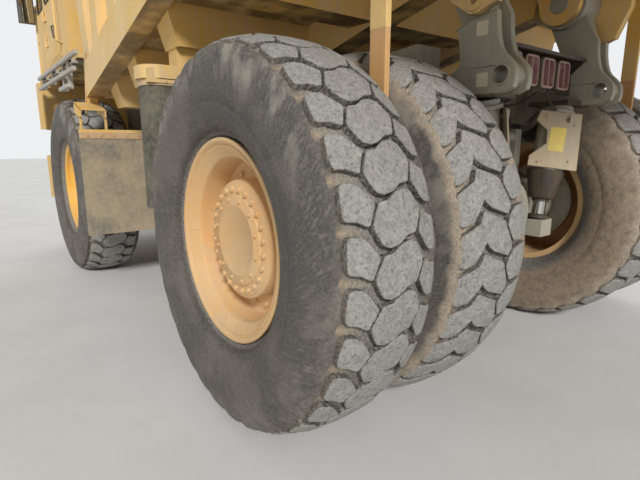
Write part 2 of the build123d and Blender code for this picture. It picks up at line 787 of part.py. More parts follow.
def make_sill():
    """The left sill along the body, arched over the pivot."""
    behind, ahead = PIVOT_U - 200, PIVOT_U + 190
    outline = [
        (SILL_REAR, body_bottom(SILL_REAR) + SILL_UP),
        (SILL_REAR, body_bottom(SILL_REAR) - SILL_TAIL_DROP),
        (KINK_U, body_bottom(KINK_U) - SILL_KINK_DROP),
        (behind, SILL_OVER_PIVOT),
        (ahead, SILL_OVER_PIVOT),
        (ahead + 50, body_bottom(ahead + 50) - SILL_LOW),
        (SILL_FRONT, body_bottom(SILL_FRONT) - SILL_LOW),
        (SILL_FRONT, body_bottom(SILL_FRONT) + SILL_UP),
        (KINK_U, body_bottom(KINK_U) + SILL_UP),
    ]
    return side_plate(outline, RAIL_IN + 20, RAIL_OUT - 20)


def pivot_lugs():
    """The left pivot's two lug plates and the tie between them."""
    plates = []
    for y in LUG_PLATES:
        outline = [
            (PIVOT_U - LUG_R, PIVOT_Z),
            (PIVOT_U + LUG_R, PIVOT_Z),
            (PIVOT_U + 2 * LUG_R, LUG_TOP),
            (PIVOT_U - 2 * LUG_R, LUG_TOP),
        ]
        plates.append(across(PIVOT_U, PIVOT_Z, y, y + LUG_T, LUG_R))
        plates.append(side_plate(outline, y, y + LUG_T))
    inner_y, y = LUG_PLATES
    tie_u = (PIVOT_U - TIE_HALF_U, PIVOT_U + TIE_HALF_U)
    plates.append(block(*tie_u, inner_y, y + LUG_T, PIVOT_Z + LUG_R + 30, LUG_TOP))
    hole = across(PIVOT_U, PIVOT_Z, inner_y - 10, y + LUG_T + 10, PIVOT_R + PIN_GAP)
    return [plate - hole for plate in plates]


def hoist_lugs():
    """The two lugs that carry the left hoist's rod eye, with their pin heads."""
    u, z = HOIST_TOP
    narrow, wide = HOIST_LUG_HALF
    top = z + HOIST_LUG_H
    outline = [(u - narrow, z - 50), (u + narrow, z - 50), (u + wide, top), (u - wide, top)]
    far, near = HOIST_Y + HOIST_LUG_Y, HOIST_Y - HOIST_LUG_Y
    plates = [side_plate(outline, y, y + HOIST_LUG_T) for y in (far, near - HOIST_LUG_T)]
    heads = [across(u, z, y, y + HOIST_HEAD_T, HOIST_PIN_R) for y in (far, near - HOIST_HEAD_T)]
    return plates + heads


def make_underframe():
    """Bolsters, the two sills, the pivot lugs and the hoists' upper lugs."""
    space = [(BODY_FRONT, HEIGHT), (-REAR_OVERHANG, HEIGHT)]
    above = side_plate(floor_line(FLOOR_UP) + space, -BODY_HALF_W, BODY_HALF_W)
    left = [make_sill(), flap_hanger()] + pivot_lugs() + hoist_lugs()
    pieces = [make_bolster(u, drop) for u, drop in BOLSTERS]
    pieces += left + [other_side(piece) for piece in left]
    # The cross bar that joins the hoists' lugs to the sills
    u, z = HOIST_TOP[0] + 80, HOIST_TOP[1] + 200
    pieces.append(block(u - 40, u + 40, -RAIL_IN - 30, RAIL_IN + 30, z - 80, z + 80))
    save("body_underframe", joined(pieces) - above)


FLAP_U = 1270
FLAP_Y = (850, 2080)
FLAP_Z = (1100, 2020)
FLAP_RUBBER_T = 20
FLAP_BAR_H = 100
FLAP_POST_Y = 1860
FLAP_BAR_Y = 1800


def flap_hanger():
    """Left hanger of the rear flaps, welded under its bolster."""
    u0, u1 = FLAP_U - 60, FLAP_U + 100
    top = body_bottom(FLAP_U) - BOLSTER_DROP + 30
    post = block(u0, u1, FLAP_Y[0], FLAP_POST_Y, FLAP_Z[1], top)
    return post + block(u0, u1, FLAP_BAR_Y, FLAP_Y[1], FLAP_Z[1], FLAP_Z[1] + FLAP_BAR_H)


def make_rear_flaps():
    """Rubber flaps ahead of the rear tyres."""
    save("rear_flaps", *both(block(FLAP_U - FLAP_RUBBER_T, FLAP_U, *FLAP_Y, *FLAP_Z)))


EJECTOR_Y = 1543
EJECTOR_T = 50
EJECTOR_U = (-640, -490)
EJECTOR_TIP = 1950
EJECTOR_POINT_H = 90


def make_ejector_bars():
    """Pointed bars that hang between the twin tyres and throw out stones."""
    u0, u1 = EJECTOR_U
    shoulder = EJECTOR_TIP + EJECTOR_POINT_H
    outline = [
        (u0, shoulder),
        ((u0 + u1) / 2, EJECTOR_TIP),
        (u1, shoulder),
        (u1, body_bottom(u1) + FLOOR_UP),
        (u0, body_bottom(u0) + FLOOR_UP),
    ]
    bar_plate = side_plate(outline, EJECTOR_Y - EJECTOR_T / 2, EJECTOR_Y + EJECTOR_T / 2)
    save("ejector_bars", *both(bar_plate))


SPINDLE_FRONT_R = 120
DRUM_R = 330
DRUM_IN = 30
DRUM_OUT = 110
STEER_ARM_HALF = (60, 55)
STEER_ARM_Z = (KNUCKLE_BOTTOM + 60, KNUCKLE_BOTTOM + 130)


def make_front_knuckles():
    """Knuckle post, spindle, brake drum and steering arm on each side."""
    end = front_web_y() - SEAT_GAP
    post = bar((WHEELBASE, KINGPIN_Y, KNUCKLE_BOTTOM), (WHEELBASE, KINGPIN_Y, KNUCKLE_TOP), KNUCKLE_R)
    spindle = across(WHEELBASE, AXLE_Z, KINGPIN_Y, end, SPINDLE_FRONT_R)
    drum = across(WHEELBASE, AXLE_Z, FRONT_TRACK / 2 - RIM_HALF_W - DRUM_IN, end - DRUM_OUT, DRUM_R)
    past, half = STEER_ARM_HALF
    arm = block(WHEELBASE - STEER_ARM - past, WHEELBASE, KINGPIN_Y - half, KINGPIN_Y + half, *STEER_ARM_Z)
    knuckle = joined([post, spindle, drum, arm])
    save("knuckle_left", knuckle)
    save("knuckle_right", other_side(knuckle))


TIE_ROD_R = 28
TIE_END_H = 70
TIE_END_R = 50


def make_tie_rod():
    """The rod that runs under the two steering arms."""
    top = STEER_ARM_Z[0] - SEAT_GAP
    low = top - TIE_END_H
    u = WHEELBASE - STEER_ARM
    rod = across(u, (low + top) / 2, -KINGPIN_Y, KINGPIN_Y, TIE_ROD_R)
    ends = [bar((u, y, low), (u, y, top), TIE_END_R) for y in (-KINGPIN_Y, KINGPIN_Y)]
    save("tie_rod", joined([rod] + ends))


ARM_T = 90
ARM_ROOT_Y = 640
ARM_ROOT_HALF = 300
ARM_HANGER_W = 100
FRONT_STRUT_R = 115


def make_front_suspension():
    """Lower arms with their hangers, and the struts up to the towers."""
    top = KNUCKLE_BOTTOM - SEAT_GAP
    low = top - ARM_T
    outline = [
        (WHEELBASE - ARM_ROOT_HALF, ARM_ROOT_Y),
        (WHEELBASE + ARM_ROOT_HALF, ARM_ROOT_Y),
        (WHEELBASE + ARM_T, KINGPIN_Y + ARM_T),
        (WHEELBASE - ARM_T, KINGPIN_Y + ARM_T),
    ]
    hangers = []
    for u in (WHEELBASE - ARM_ROOT_HALF, WHEELBASE + ARM_ROOT_HALF - ARM_HANGER_W):
        hangers.append(block(u, u + ARM_HANGER_W, ARM_ROOT_Y, RAIL_OUT, low, RAIL_BOTTOM))
    save("front_arms", *both(joined([plan_plate(outline, low, top)] + hangers)))
    foot = (WHEELBASE, KINGPIN_Y, KNUCKLE_TOP + SEAT_GAP)
    save("front_struts", *both(bar(foot, (WHEELBASE, KINGPIN_Y, TOWER_Z), FRONT_STRUT_R)))


ENGINE_HALF_W = 400
ENGINE_Z = (1050, 2100)


def make_engine():
    """The engine as one plain block."""
    u0, u1 = CROSS_MEMBERS[3][1], CROSS_MEMBERS[4][0]
    save("engine", block(u0, u1, -ENGINE_HALF_W, ENGINE_HALF_W, *ENGINE_Z))


GRILLE_HALF_W = 780
GRILLE_U = (FRAME_FRONT - 130, FRAME_FRONT)
GRILLE_Z = (RAIL_TOP + 30, DECK_Z - DECK_T)
GRILLE_BARS = 7
GRILLE_BORDER = 60
GRILLE_DEPTH = 70
GRILLE_BAR_HALF = 18
GRILLE_FEET_Y = (-620, 620)


def make_grille():
    """Radiator core with its frame and upright bars."""
    u0, u1 = GRILLE_U
    z0, z1 = GRILLE_Z
    half_w = GRILLE_HALF_W - GRILLE_BORDER
    back = u1 - GRILLE_DEPTH
    low, high = z0 + GRILLE_BORDER, z1 - GRILLE_BORDER
    shell = block(u0, u1, -GRILLE_HALF_W, GRILLE_HALF_W, z0, z1)
    pieces = [shell - block(back, u1 + 1, -half_w, half_w, low, high)]
    step = 2 * half_w / (GRILLE_BARS + 1)
    for number in range(1, GRILLE_BARS + 1):
        y = number * step - half_w
        pieces.append(block(back, u1 - 10, y - GRILLE_BAR_HALF, y + GRILLE_BAR_HALF, low, high))
    feet = [block(u0, u1, y - 100, y + 100, RAIL_TOP, z0) for y in GRILLE_FEET_Y]
    save("grille", joined(pieces + feet))


HOOD_REAR = CAB_REAR + 600
HOOD_FRONT = DECK_FRONT - 20
HOOD_Y = (-620, 700)


def make_hood():
    """Engine cover above the deck between cab and right platform."""
    outline = [
        (HOOD_REAR, DECK_Z),
        (HOOD_FRONT, DECK_Z),
        (HOOD_FRONT, DECK_Z + 150),
        (HOOD_FRONT - 100, DECK_Z + 240),
        (HOOD_REAR, DECK_Z + 300),
    ]
    save("hood", side_plate(outline, *HOOD_Y))


APRON_Z = 1800
APRON_T = 50
WING_U = (5500, 5750)
WING_OUT = 60
WING_T = 30
WING_TOP = 2430
STAY_IN = 200
DECK_POST_U = (3420, 3560)


def make_deck():
    """Deck plate, front panels, side wings and the frame's deck posts."""
    under = DECK_Z - DECK_T
    plate = block(DECK_REAR, DECK_FRONT, -DECK_HALF_W, DECK_HALF_W, under, DECK_Z)
    panel_y = GRILLE_HALF_W + SEAT_GAP
    panel = block(DECK_FRONT - APRON_T, DECK_FRONT, panel_y, DECK_HALF_W, APRON_Z, under)
    wing_y = DECK_HALF_W + WING_OUT
    wing = block(*WING_U, wing_y, wing_y + WING_T, APRON_Z, WING_TOP)
    stay_u = (WING_U[0] + 100, WING_U[0] + 200)
    stay_y = DECK_HALF_W - STAY_IN
    stay = block(*stay_u, stay_y, wing_y, WING_TOP - APRON_T, WING_TOP)
    hang = block(*stay_u, stay_y, stay_y + APRON_T, WING_TOP - APRON_T, under)
    rear_post = block(*DECK_POST_U, RAIL_IN, RAIL_OUT, RAIL_TOP, under)
    left = [panel, joined([wing, stay, hang]), rear_post]
    save("deck", joined([plate] + left + [other_side(piece) for piece in left]))


# Walkway bars under the deck's edge: height, rear end, front end
SIDE_BARS = [(2300, 3600, 5300), (2400, 3600, 5300)]
SIDE_BAR_H = 35
SIDE_BAR_T = 40
SIDE_BAR_IN = 60
SIDE_HANGERS_U = (3700, 4400, 5150)
SIDE_HANGER_W = 60
SIDE_HANGER_Z = 2280


def make_side_steps():
    """Slatted walkway bars under the cab door and its mirror image."""
    bar_y = DECK_HALF_W - SIDE_BAR_IN
    pieces = [block(u0, u1, bar_y, bar_y + SIDE_BAR_T, z, z + SIDE_BAR_H) for z, u0, u1 in SIDE_BARS]
    top = DECK_Z - DECK_T
    for u in SIDE_HANGERS_U:
        pieces.append(block(u, u + SIDE_HANGER_W, bar_y - SIDE_BAR_T, bar_y, SIDE_HANGER_Z, top))
    save("side_steps", *both(joined(pieces)))


BUMPER_Z = (780, 1420)
BUMPER_CORNER = (120, 350)


def make_bumper():
    """Front bumper beam with cut-back corners."""
    back, inset = BUMPER_CORNER
    half = [
        (FRONT_END, DECK_HALF_W - inset),
        (FRONT_END - back, DECK_HALF_W),
        (FRAME_FRONT, DECK_HALF_W),
    ]
    outline = [(u, -y) for u, y in reversed(half)] + half
    save("front_bumper", plan_plate(outline, *BUMPER_Z))


HEAD_LAMPS_Y = (1000, 1260)
HEAD_LAMP_Z = 2150
HEAD_LAMP_R = 95
HEAD_LAMP_DEPTH = 55


def make_head_lamps():
    """Round head lamps on the front panels."""
    lamps = []
    for y in HEAD_LAMPS_Y:
        back = (DECK_FRONT, y, HEAD_LAMP_Z)
        front = (DECK_FRONT + HEAD_LAMP_DEPTH, y, HEAD_LAMP_Z)
        lamps += both(bar(back, front, HEAD_LAMP_R))
    save("head_lamps", *lamps)


LADDER_Y = (1500, 1950)
STEP_RISE = 300
STEP_COUNT = 3
STEP_T = 30
STEP_DEPTH = 150
STRINGER = (60, 40)
HANGING_STEP_Z = 420


def make_ladders():
    """Two ladders on the front, from bumper to deck, with hanging steps below."""
    y0, y1 = LADDER_Y
    depth, width = STRINGER
    u = DECK_FRONT
    pieces = [block(u, u + depth, y, y + width, BUMPER_Z[1], DECK_Z) for y in (y0, y1 - width)]
    for number in range(1, STEP_COUNT + 1):
        z = BUMPER_Z[1] + number * STEP_RISE
        pieces.append(block(u, u + STEP_DEPTH, y0, y1, z, z + STEP_T))
    u += depth
    low = HANGING_STEP_Z
    hanging = [block(u, u + 40, y, y + STEP_T, low, BUMPER_Z[0]) for y in (y0, y1 - STEP_T)]
    hanging.append(block(u - 30, u + STEP_DEPTH - 30, y0, y1, low, low + STEP_T))
    save("ladders", *both(joined(pieces)), *both(joined(hanging)))


POST_R = 20
TUBE_R = 16
HANDRAIL_H = 1000
RAIL_EDGE = 40


def handrail(places, heights):
    """Posts at (u, y) places, joined in turn by tubes at each height."""
    pieces = [bar((u, y, DECK_Z), (u, y, DECK_Z + HANDRAIL_H), POST_R) for u, y in places]
    for (u0, y0), (u1, y1) in zip(places, places[1:]):
        for z in heights:
            pieces.append(bar((u0, y0, z), (u1, y1, z), TUBE_R))
    return joined(pieces)


def make_handrails():
    """Tube rails round the deck."""
    heights = (DECK_Z + HANDRAIL_H / 2, DECK_Z + HANDRAIL_H - POST_R)
    edge_y = DECK_HALF_W - RAIL_EDGE
    edge_u = DECK_FRONT - RAIL_EDGE
    right = handrail([(u, -edge_y) for u in (3500, 4700, edge_u)], heights)
    front = handrail([(edge_u, LADDER_Y[0] - 60), (edge_u, 760)], heights)
    left = handrail([(edge_u, edge_y), (5600, edge_y)], heights)
    save("handrails", right, *both(front), left)


def cab_outline(inset):
    """Side outline of the cab, inset by a wall."""
    return [
        (CAB_REAR + inset, DECK_Z + inset),
        (CAB_FRONT - inset, DECK_Z + inset),
        (CAB_FRONT - inset, CAB_WAIST),
        (CAB_ROOF_FRONT - inset, CAB_ROOF - inset),
        (CAB_REAR + inset, CAB_ROOF - inset),
    ]


def front_u(z):
    """Outer face of the leaning windscreen at a height."""
    return CAB_FRONT + (CAB_ROOF_FRONT - CAB_FRONT) * (z - CAB_WAIST) / (CAB_ROOF - CAB_WAIST)


# Heights of the windscreen opening and of the side windows
SCREEN_Z = (3200, 3930)
SIDE_Z = (3280, 3900)
SCREEN_SIDE = 90
REAR_SIDE = 120
INNER_PANE_U = (3800, 4950)
QUARTER_GAP = (90, 110)


def slanted(z0, z1, back, ahead):
    """A leaning strip that follows the windscreen."""
    return [
        (front_u(z0) - back, z0),
        (front_u(z0) + ahead, z0),
        (front_u(z1) + ahead, z1),
        (front_u(z1) - back, z1),
    ]


def window_cutters(margin):
    """Cutters for the four fixed windows; with a margin they are the panes, in the walls' middle."""
    low, high = SIDE_Z[0] + margin, SIDE_Z[1] - margin
    pane = margin > 0
    wall = (CAB_WALL - GLASS_T) / 2 if pane else 0
    y_in = CAB_IN + wall
    y_out = CAB_OUT - wall
    thick = CAB_WALL - 2 * wall
    back = (CAB_WALL + GLASS_T) / 2 if pane else CAB_WALL + 30
    ahead = (GLASS_T - CAB_WALL) / 2 if pane else 30
    screen_y = (CAB_IN + SCREEN_SIDE + margin, CAB_OUT - SCREEN_SIDE - margin)
    screen = side_plate(slanted(SCREEN_Z[0] + margin, SCREEN_Z[1] - margin, back, ahead), *screen_y)
    rear_y = (CAB_IN + REAR_SIDE + margin, CAB_OUT - REAR_SIDE - margin)
    rear = block(CAB_REAR + wall, CAB_REAR + wall + thick, *rear_y, low, high)
    inner = block(INNER_PANE_U[0] + margin, INNER_PANE_U[1] - margin, y_in, y_in + thick, low, high)
    quarter = side_plate(
        [
            (DOOR_FRONT + QUARTER_GAP[0] + margin, low),
            (front_u(SIDE_Z[0]) - QUARTER_GAP[1] - margin, low),
            (front_u(SIDE_Z[1]) - QUARTER_GAP[1] - margin, high),
            (DOOR_FRONT + QUARTER_GAP[0] + margin, high),
        ],
        y_out - thick,
        y_out,
    )
    return [screen, rear, inner, quarter]


HINGE_U = DOOR_FRONT + 15
HINGE_Y = CAB_OUT + 18
HINGE_R = 14
HINGE_H = 60
HINGE_Z = (2800, 3100, 3700)
HINGE_LEAF = 10
DOOR_FRAME_W = 90


def hinge_halves():
    """Knuckles of the door's hinges: those on the cab, then those on the door."""
    fixed, moving = [], []
    leaf_y = CAB_OUT + HINGE_LEAF
    for z in HINGE_Z:
        top = z + HINGE_H
        moving.append(bar((HINGE_U, HINGE_Y, z), (HINGE_U, HINGE_Y, top), HINGE_R))
        moving.append(block(DOOR_FRONT - DOOR_FRAME_W, DOOR_FRONT - RUN_GAP, CAB_OUT - 5, leaf_y, z, top))
        moving.append(block(DOOR_FRONT - 20, HINGE_U, CAB_OUT + 1, leaf_y, z, top))
        low = top + SEAT_GAP
        high = low + HINGE_H
        fixed.append(bar((HINGE_U, HINGE_Y, low), (HINGE_U, HINGE_Y, high), HINGE_R))
        fixed.append(block(HINGE_U, HINGE_U + 55, CAB_OUT - 5, HINGE_Y, low, high))
    return fixed, moving


CAB_FLOOR = DECK_Z + CAB_WALL
CHAIR_Y = (CAB_IN + CAB_OUT) / 2
CHAIR_U = 3980
CHAIR_BASE_U = (4020, 4400)
CHAIR_BASE_HALF = 200
CHAIR_SEAT_Z = CAB_FLOOR + 420
CHAIR_SEAT_T = 140
CHAIR_SEAT_LENGTH = 540
CHAIR_SEAT_HALF = 270
CHAIR_BACK_T = 130
CHAIR_BACK_H = 690
CHAIR_BACK_LEAN = 70
CHAIR_BACK_HALF = 260
CONSOLE_U = (5100, 5180)
COLUMN_FOOT = (5325, CHAIR_Y, CAB_FLOOR + 150)
COLUMN_HEAD = (4825, CHAIR_Y, CAB_FLOOR + 760)
COLUMN_R = 35
STEERING_R = (186, 216)
STEERING_T = 28
SPOKE = (400, 50, 20)


def make_door():
    """The cab's door with its hinge halves, and its pane."""
    inner_y = CAB_OUT - CAB_WALL
    door = block(
        DOOR_REAR + RUN_GAP,
        DOOR_FRONT - RUN_GAP,
        inner_y,
        CAB_OUT,
        DOOR_SILL + RUN_GAP,
        DOOR_HEAD - RUN_GAP,
    )
    u0, u1 = DOOR_REAR + DOOR_FRAME_W, DOOR_FRONT - DOOR_FRAME_W
    z0, z1 = SIDE_Z[0], DOOR_HEAD - DOOR_FRAME_W
    door = door - block(u0, u1, inner_y - 1, CAB_OUT + 1, z0, z1)
    save("cab_door", joined([door] + hinge_halves()[1]))
    gap = SEAT_GAP
    pane_y = (inner_y + CAB_OUT - GLASS_T) / 2
    save("door_glass", block(u0 + gap, u1 - gap, pane_y, pane_y + GLASS_T, z0 + gap, z1 - gap))


def make_chair():
    """The driver's chair on its base."""
    half = CHAIR_BASE_HALF
    base = block(*CHAIR_BASE_U, CHAIR_Y - half, CHAIR_Y + half, CAB_FLOOR, CHAIR_SEAT_Z)
    top = CHAIR_SEAT_Z + CHAIR_SEAT_T
    half = CHAIR_SEAT_HALF
    seat = block(CHAIR_U, CHAIR_U + CHAIR_SEAT_LENGTH, CHAIR_Y - half, CHAIR_Y + half, CHAIR_SEAT_Z, top)
    head_u = CHAIR_U - CHAIR_BACK_LEAN
    back = side_plate(
        [
            (CHAIR_U, top),
            (CHAIR_U + CHAIR_BACK_T, top),
            (head_u + CHAIR_BACK_T, top + CHAIR_BACK_H),
            (head_u, top + CHAIR_BACK_H),
        ],
        CHAIR_Y - CHAIR_BACK_HALF,
        CHAIR_Y + CHAIR_BACK_HALF,
    )
    save("driver_chair", joined([base, seat, back]))


def make_controls():
    """The console under the windscreen and the steering wheel on its column."""
    wall_front = CAB_FRONT - CAB_WALL
    console = side_plate(
        [
            (CONSOLE_U[0], CAB_FLOOR),
            (wall_front, CAB_FLOOR),
            (wall_front, CAB_WAIST - 10),
            (CONSOLE_U[1], CAB_WAIST - 60),
        ],
        CAB_IN + CAB_WALL,
        CAB_OUT - CAB_WALL,
    )
    save("dash_console", console)
    foot_u, y, foot_z = COLUMN_FOOT
    head_u, y, head_z = COLUMN_HEAD
    column = bar(COLUMN_FOOT, COLUMN_HEAD, COLUMN_R) - console
    place = Pos(at(head_u), y, head_z) * Rot(0, degrees(atan2(head_u - foot_u, head_z - foot_z)), 0)
    inner_r, outer_r = STEERING_R
    rim = place * (Cylinder(outer_r, STEERING_T) - Cylinder(inner_r, STEERING_T + 2))
    wheel_and_column = joined([column, rim, place * Box(*SPOKE)])
    save("steering_wheel", wheel_and_column.solids().sort_by(SortBy.VOLUME)[-1])


def make_cab():
    """Cab shell with door opening and windows cut, and the fixed panes."""
    shell = side_plate(cab_outline(0), CAB_IN, CAB_OUT)
    room = side_plate(cab_outline(CAB_WALL), CAB_IN + CAB_WALL, CAB_OUT - CAB_WALL)
    doorway_y = (CAB_OUT - CAB_WALL - 5, CAB_OUT + 5)
    shell = shell - room - block(DOOR_REAR, DOOR_FRONT, *doorway_y, DOOR_SILL, DOOR_HEAD)
    for cutter in window_cutters(0):
        shell = shell - cutter
    save("cab_shell", joined([shell] + hinge_halves()[0]))
    save("cab_windows", *window_cutters(SEAT_GAP))


CLEANER_U = (4100, 4650)
CLEANER_Y = -1500
CLEANER_R = 230
CLEANER_H = 700
BATTERY = (5150, 5750, -1950, -1150, DECK_Z, DECK_Z + 420)
MIRROR_U = 5800
MIRROR_POST_Y = DECK_HALF_W - 100
MIRROR_POST_R = 18
MIRROR_ARM_R = 15
MIRROR_Z = (3250, 3700)
MIRROR_W = 200
MIRROR_T = 40


def make_deck_gear():
    """Air cleaners and battery box on the right platform, and the mirrors."""
    top = DECK_Z + CLEANER_H
    save("air_cleaners", *[bar((u, CLEANER_Y, DECK_Z), (u, CLEANER_Y, top), CLEANER_R) for u in CLEANER_U])
    save("battery_box", block(*BATTERY))
    half_w = MIRROR_WIDTH / 2
    low, high = MIRROR_Z
    arm_z = high - 50
    post = bar((MIRROR_U, MIRROR_POST_Y, DECK_Z), (MIRROR_U, MIRROR_POST_Y, high), MIRROR_POST_R)
    arm = bar((MIRROR_U, MIRROR_POST_Y, arm_z), (MIRROR_U, half_w - 60, arm_z), MIRROR_ARM_R)
    head = block(MIRROR_U - 10, MIRROR_U - 10 + MIRROR_T, half_w - MIRROR_W, half_w, low, high)
    save("mirrors", *both(joined([post, arm, head])))


TANK = (1560, 2700, RAIL_OUT, 1450, 850, 1500)
TANK_EDGE_R = 120


def make_tanks():
    """Fuel tank on the right and hydraulic tank on the left."""
    tank = block(*TANK)
    outer_edges = tank.edges().filter_by(Axis.X).group_by(Axis.Y)[-1]
    save("side_tanks", *both(fillet(outer_edges, TANK_EDGE_R)))


FLAP_CLEAR = 20
FLAP_SHEET_T = 30
TYRE_SWEEP = hypot(TREAD_EDGE_R, FRONT_TRACK / 2 + TREAD_HALF_W - KINGPIN_Y)
FRONT_FLAP_U = WHEELBASE - TYRE_SWEEP - FLAP_CLEAR - FLAP_SHEET_T
FRONT_FLAP_Y = (1500, 2240)
FRONT_FLAP_Z = (660, 1700)
HANGER_CLEAR = 87
HANGER_STEM = 75
HANGER_Y = (1900, 2080)
HANGER_Z = (1900, 1990)
HANGER_FOOT = 80
RISER_TOP_U = (DECK_REAR + 20, DECK_REAR + 100)
IRON_LEG = 60
IRON_T = 30


def make_front_flaps():
    """Rubber flaps behind the front wheels with their angle irons and hangers."""
    u = FRONT_FLAP_U
    flap = block(u, u + FLAP_SHEET_T, *FRONT_FLAP_Y, *FRONT_FLAP_Z)
    save("front_flaps", *both(flap))
    iron_z = FRONT_FLAP_Z[1] + IRON_T
    iron = block(u, u + IRON_LEG, *FRONT_FLAP_Y, FRONT_FLAP_Z[1], iron_z)
    knee_u = BODY_FRONT + HANGER_CLEAR
    low, high = HANGER_Z
    foot_u = knee_u + HANGER_FOOT
    under_deck = DECK_Z - DECK_T
    top_rear, top_front = RISER_TOP_U
    riser = [(knee_u, high), (top_rear, under_deck), (top_front, under_deck), (foot_u, low)]
    arm = block(min(u, knee_u), max(u + HANGER_STEM, foot_u), *HANGER_Y, low, high)
    stem = block(u, u + HANGER_STEM, *HANGER_Y, iron_z, high)
    save("flap_brackets", *both(joined([iron, stem, arm, side_plate(riser, *HANGER_Y)])))


PAD_U = (1900, 2300)
PAD_IN = 30


def make_pads():
    """Rubber pads on the rails that carry the lowered dump body."""
    u0, u1 = PAD_U
    pad = side_plate(
        [
            (u0, rail_top(u0)),
            (u1, rail_top(u1)),
            (u1, body_bottom(u1) - SILL_LOW - SEAT_GAP),
            (u0, body_bottom(u0) - SILL_LOW - SEAT_GAP),
        ],
        RAIL_IN + PAD_IN,
        RAIL_OUT - PAD_IN,
    )
    save("body_pads", *both(pad))


def main():
    """Write every sub-part."""
    os.makedirs("parts", exist_ok=True)
    make_tyres()
    make_wheels()
    make_rear_axle()
    make_rear_links()
    make_rear_struts()
    make_drive_line()
    make_frame()
    make_rear_brackets()
    make_lamp_bar()
    make_hoists()
    make_body_tub()
    make_canopy()
    make_underframe()
    make_rear_flaps()
    make_ejector_bars()
    make_front_knuckles()
    make_tie_rod()
    make_front_suspension()
    make_engine()
    make_grille()
    make_hood()
    make_deck()
    make_side_steps()
    make_bumper()
    make_head_lamps()
    make_ladders()
    make_handrails()
    make_cab()
    make_door()
    make_chair()
    make_controls()
    make_deck_gear()
    make_tanks()
    make_front_flaps()
    make_pads()


main()
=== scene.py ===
"""Looks of the rigid dump truck: tyres with tread blocks, wheels, rear brackets and struts, lamps,
cab fittings, wear and dust."""

import math

import bpy
import numpy as np
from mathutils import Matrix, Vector
from mathutils.geometry import tessellate_polygon


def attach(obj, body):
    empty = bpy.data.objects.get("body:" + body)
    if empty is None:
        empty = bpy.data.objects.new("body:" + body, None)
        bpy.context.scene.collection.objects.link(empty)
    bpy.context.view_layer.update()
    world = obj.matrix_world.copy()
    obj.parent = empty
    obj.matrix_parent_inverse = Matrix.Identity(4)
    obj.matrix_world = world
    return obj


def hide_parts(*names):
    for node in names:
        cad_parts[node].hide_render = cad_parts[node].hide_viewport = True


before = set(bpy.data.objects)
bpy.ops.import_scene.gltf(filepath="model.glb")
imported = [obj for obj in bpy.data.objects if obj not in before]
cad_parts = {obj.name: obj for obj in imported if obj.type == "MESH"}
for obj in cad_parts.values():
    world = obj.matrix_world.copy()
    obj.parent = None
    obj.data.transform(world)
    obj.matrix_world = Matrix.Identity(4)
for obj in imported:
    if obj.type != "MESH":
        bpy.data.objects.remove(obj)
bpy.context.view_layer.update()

# Tables give places in mm: u ahead of the rear axle, y left of the middle, z above the floor.
REAR_X = -1.5875
WHEELBASE = 4300
AXLE_Z = 1060
REAR_TRACK = 3086
DUAL_SPACING = 760
FRONT_TRACK = 3740
RIM_HALF_W = 212
SIDES = (("left", 1), ("right", -1))
AHEAD, BACK, LEFT, UP = (1, 0, 0), (-1, 0, 0), (0, 1, 0), (0, 0, 1)
INWARDS = (0, -1, 0)
# Faces that meet at more than this stay sharp.
SMOOTH_DEG = 35


def spots(places):
    """Places of (u, y, z) mm as metres."""
    return np.asarray(places, float) / 1000 + (REAR_X, 0, 0)


# Surfaces. Each is a tuple: points (n, 3) in metres, faces as index arrays, values by name.

def grid_quads(rows, columns, closed_rows=False, closed_columns=False):
    """Quads of a grid of rows x columns points, numbered row by row. A closed direction joins its
    last line to its first."""
    r = np.arange(rows if closed_rows else rows - 1)[:, None]
    c = np.arange(columns if closed_columns else columns - 1)[None, :]
    r1, c1 = (r + 1) % rows, (c + 1) % columns
    quads = np.stack([r * columns + c, r * columns + c1, r1 * columns + c1, r1 * columns + c], -1)
    return quads.reshape(-1, 4)


def outward(points, faces, values=None):
    """The closed surface with its faces turned outwards: turned round where the volume under its
    triangles, a . (b x c) / 6, comes out negative."""
    fans = [f[:, [0, k, k + 1]] for f in faces for k in range(1, f.shape[1] - 1)]
    a, b, c = np.moveaxis(points[np.concatenate(fans)], 1, 0)
    if np.einsum("ij,ij->", a - points[0], np.cross(b - points[0], c - points[0])) < 0:
        faces = [f[:, ::-1] for f in faces]
    return points, faces, values or {}


def joined(parts):
    """One surface from several, with the indices moved on."""
    points, faces, values, start = [], {3: [], 4: []}, {}, 0
    for part_points, part_faces, part_values in parts:
        points.append(part_points)
        for f in part_faces:
            faces[f.shape[1]].append(f + start)
        for key, numbers in part_values.items():
            values.setdefault(key, []).append(numbers)
        start += len(part_points)
    kept = [np.concatenate(f) for f in faces.values() if f]
    return np.concatenate(points), kept, {k: np.concatenate(v) for k, v in values.items()}


def mirrored(part):
    """The surface on the other side of the truck."""
    points, faces, values = part
    return points * (1, -1, 1), [f[:, ::-1] for f in faces], values


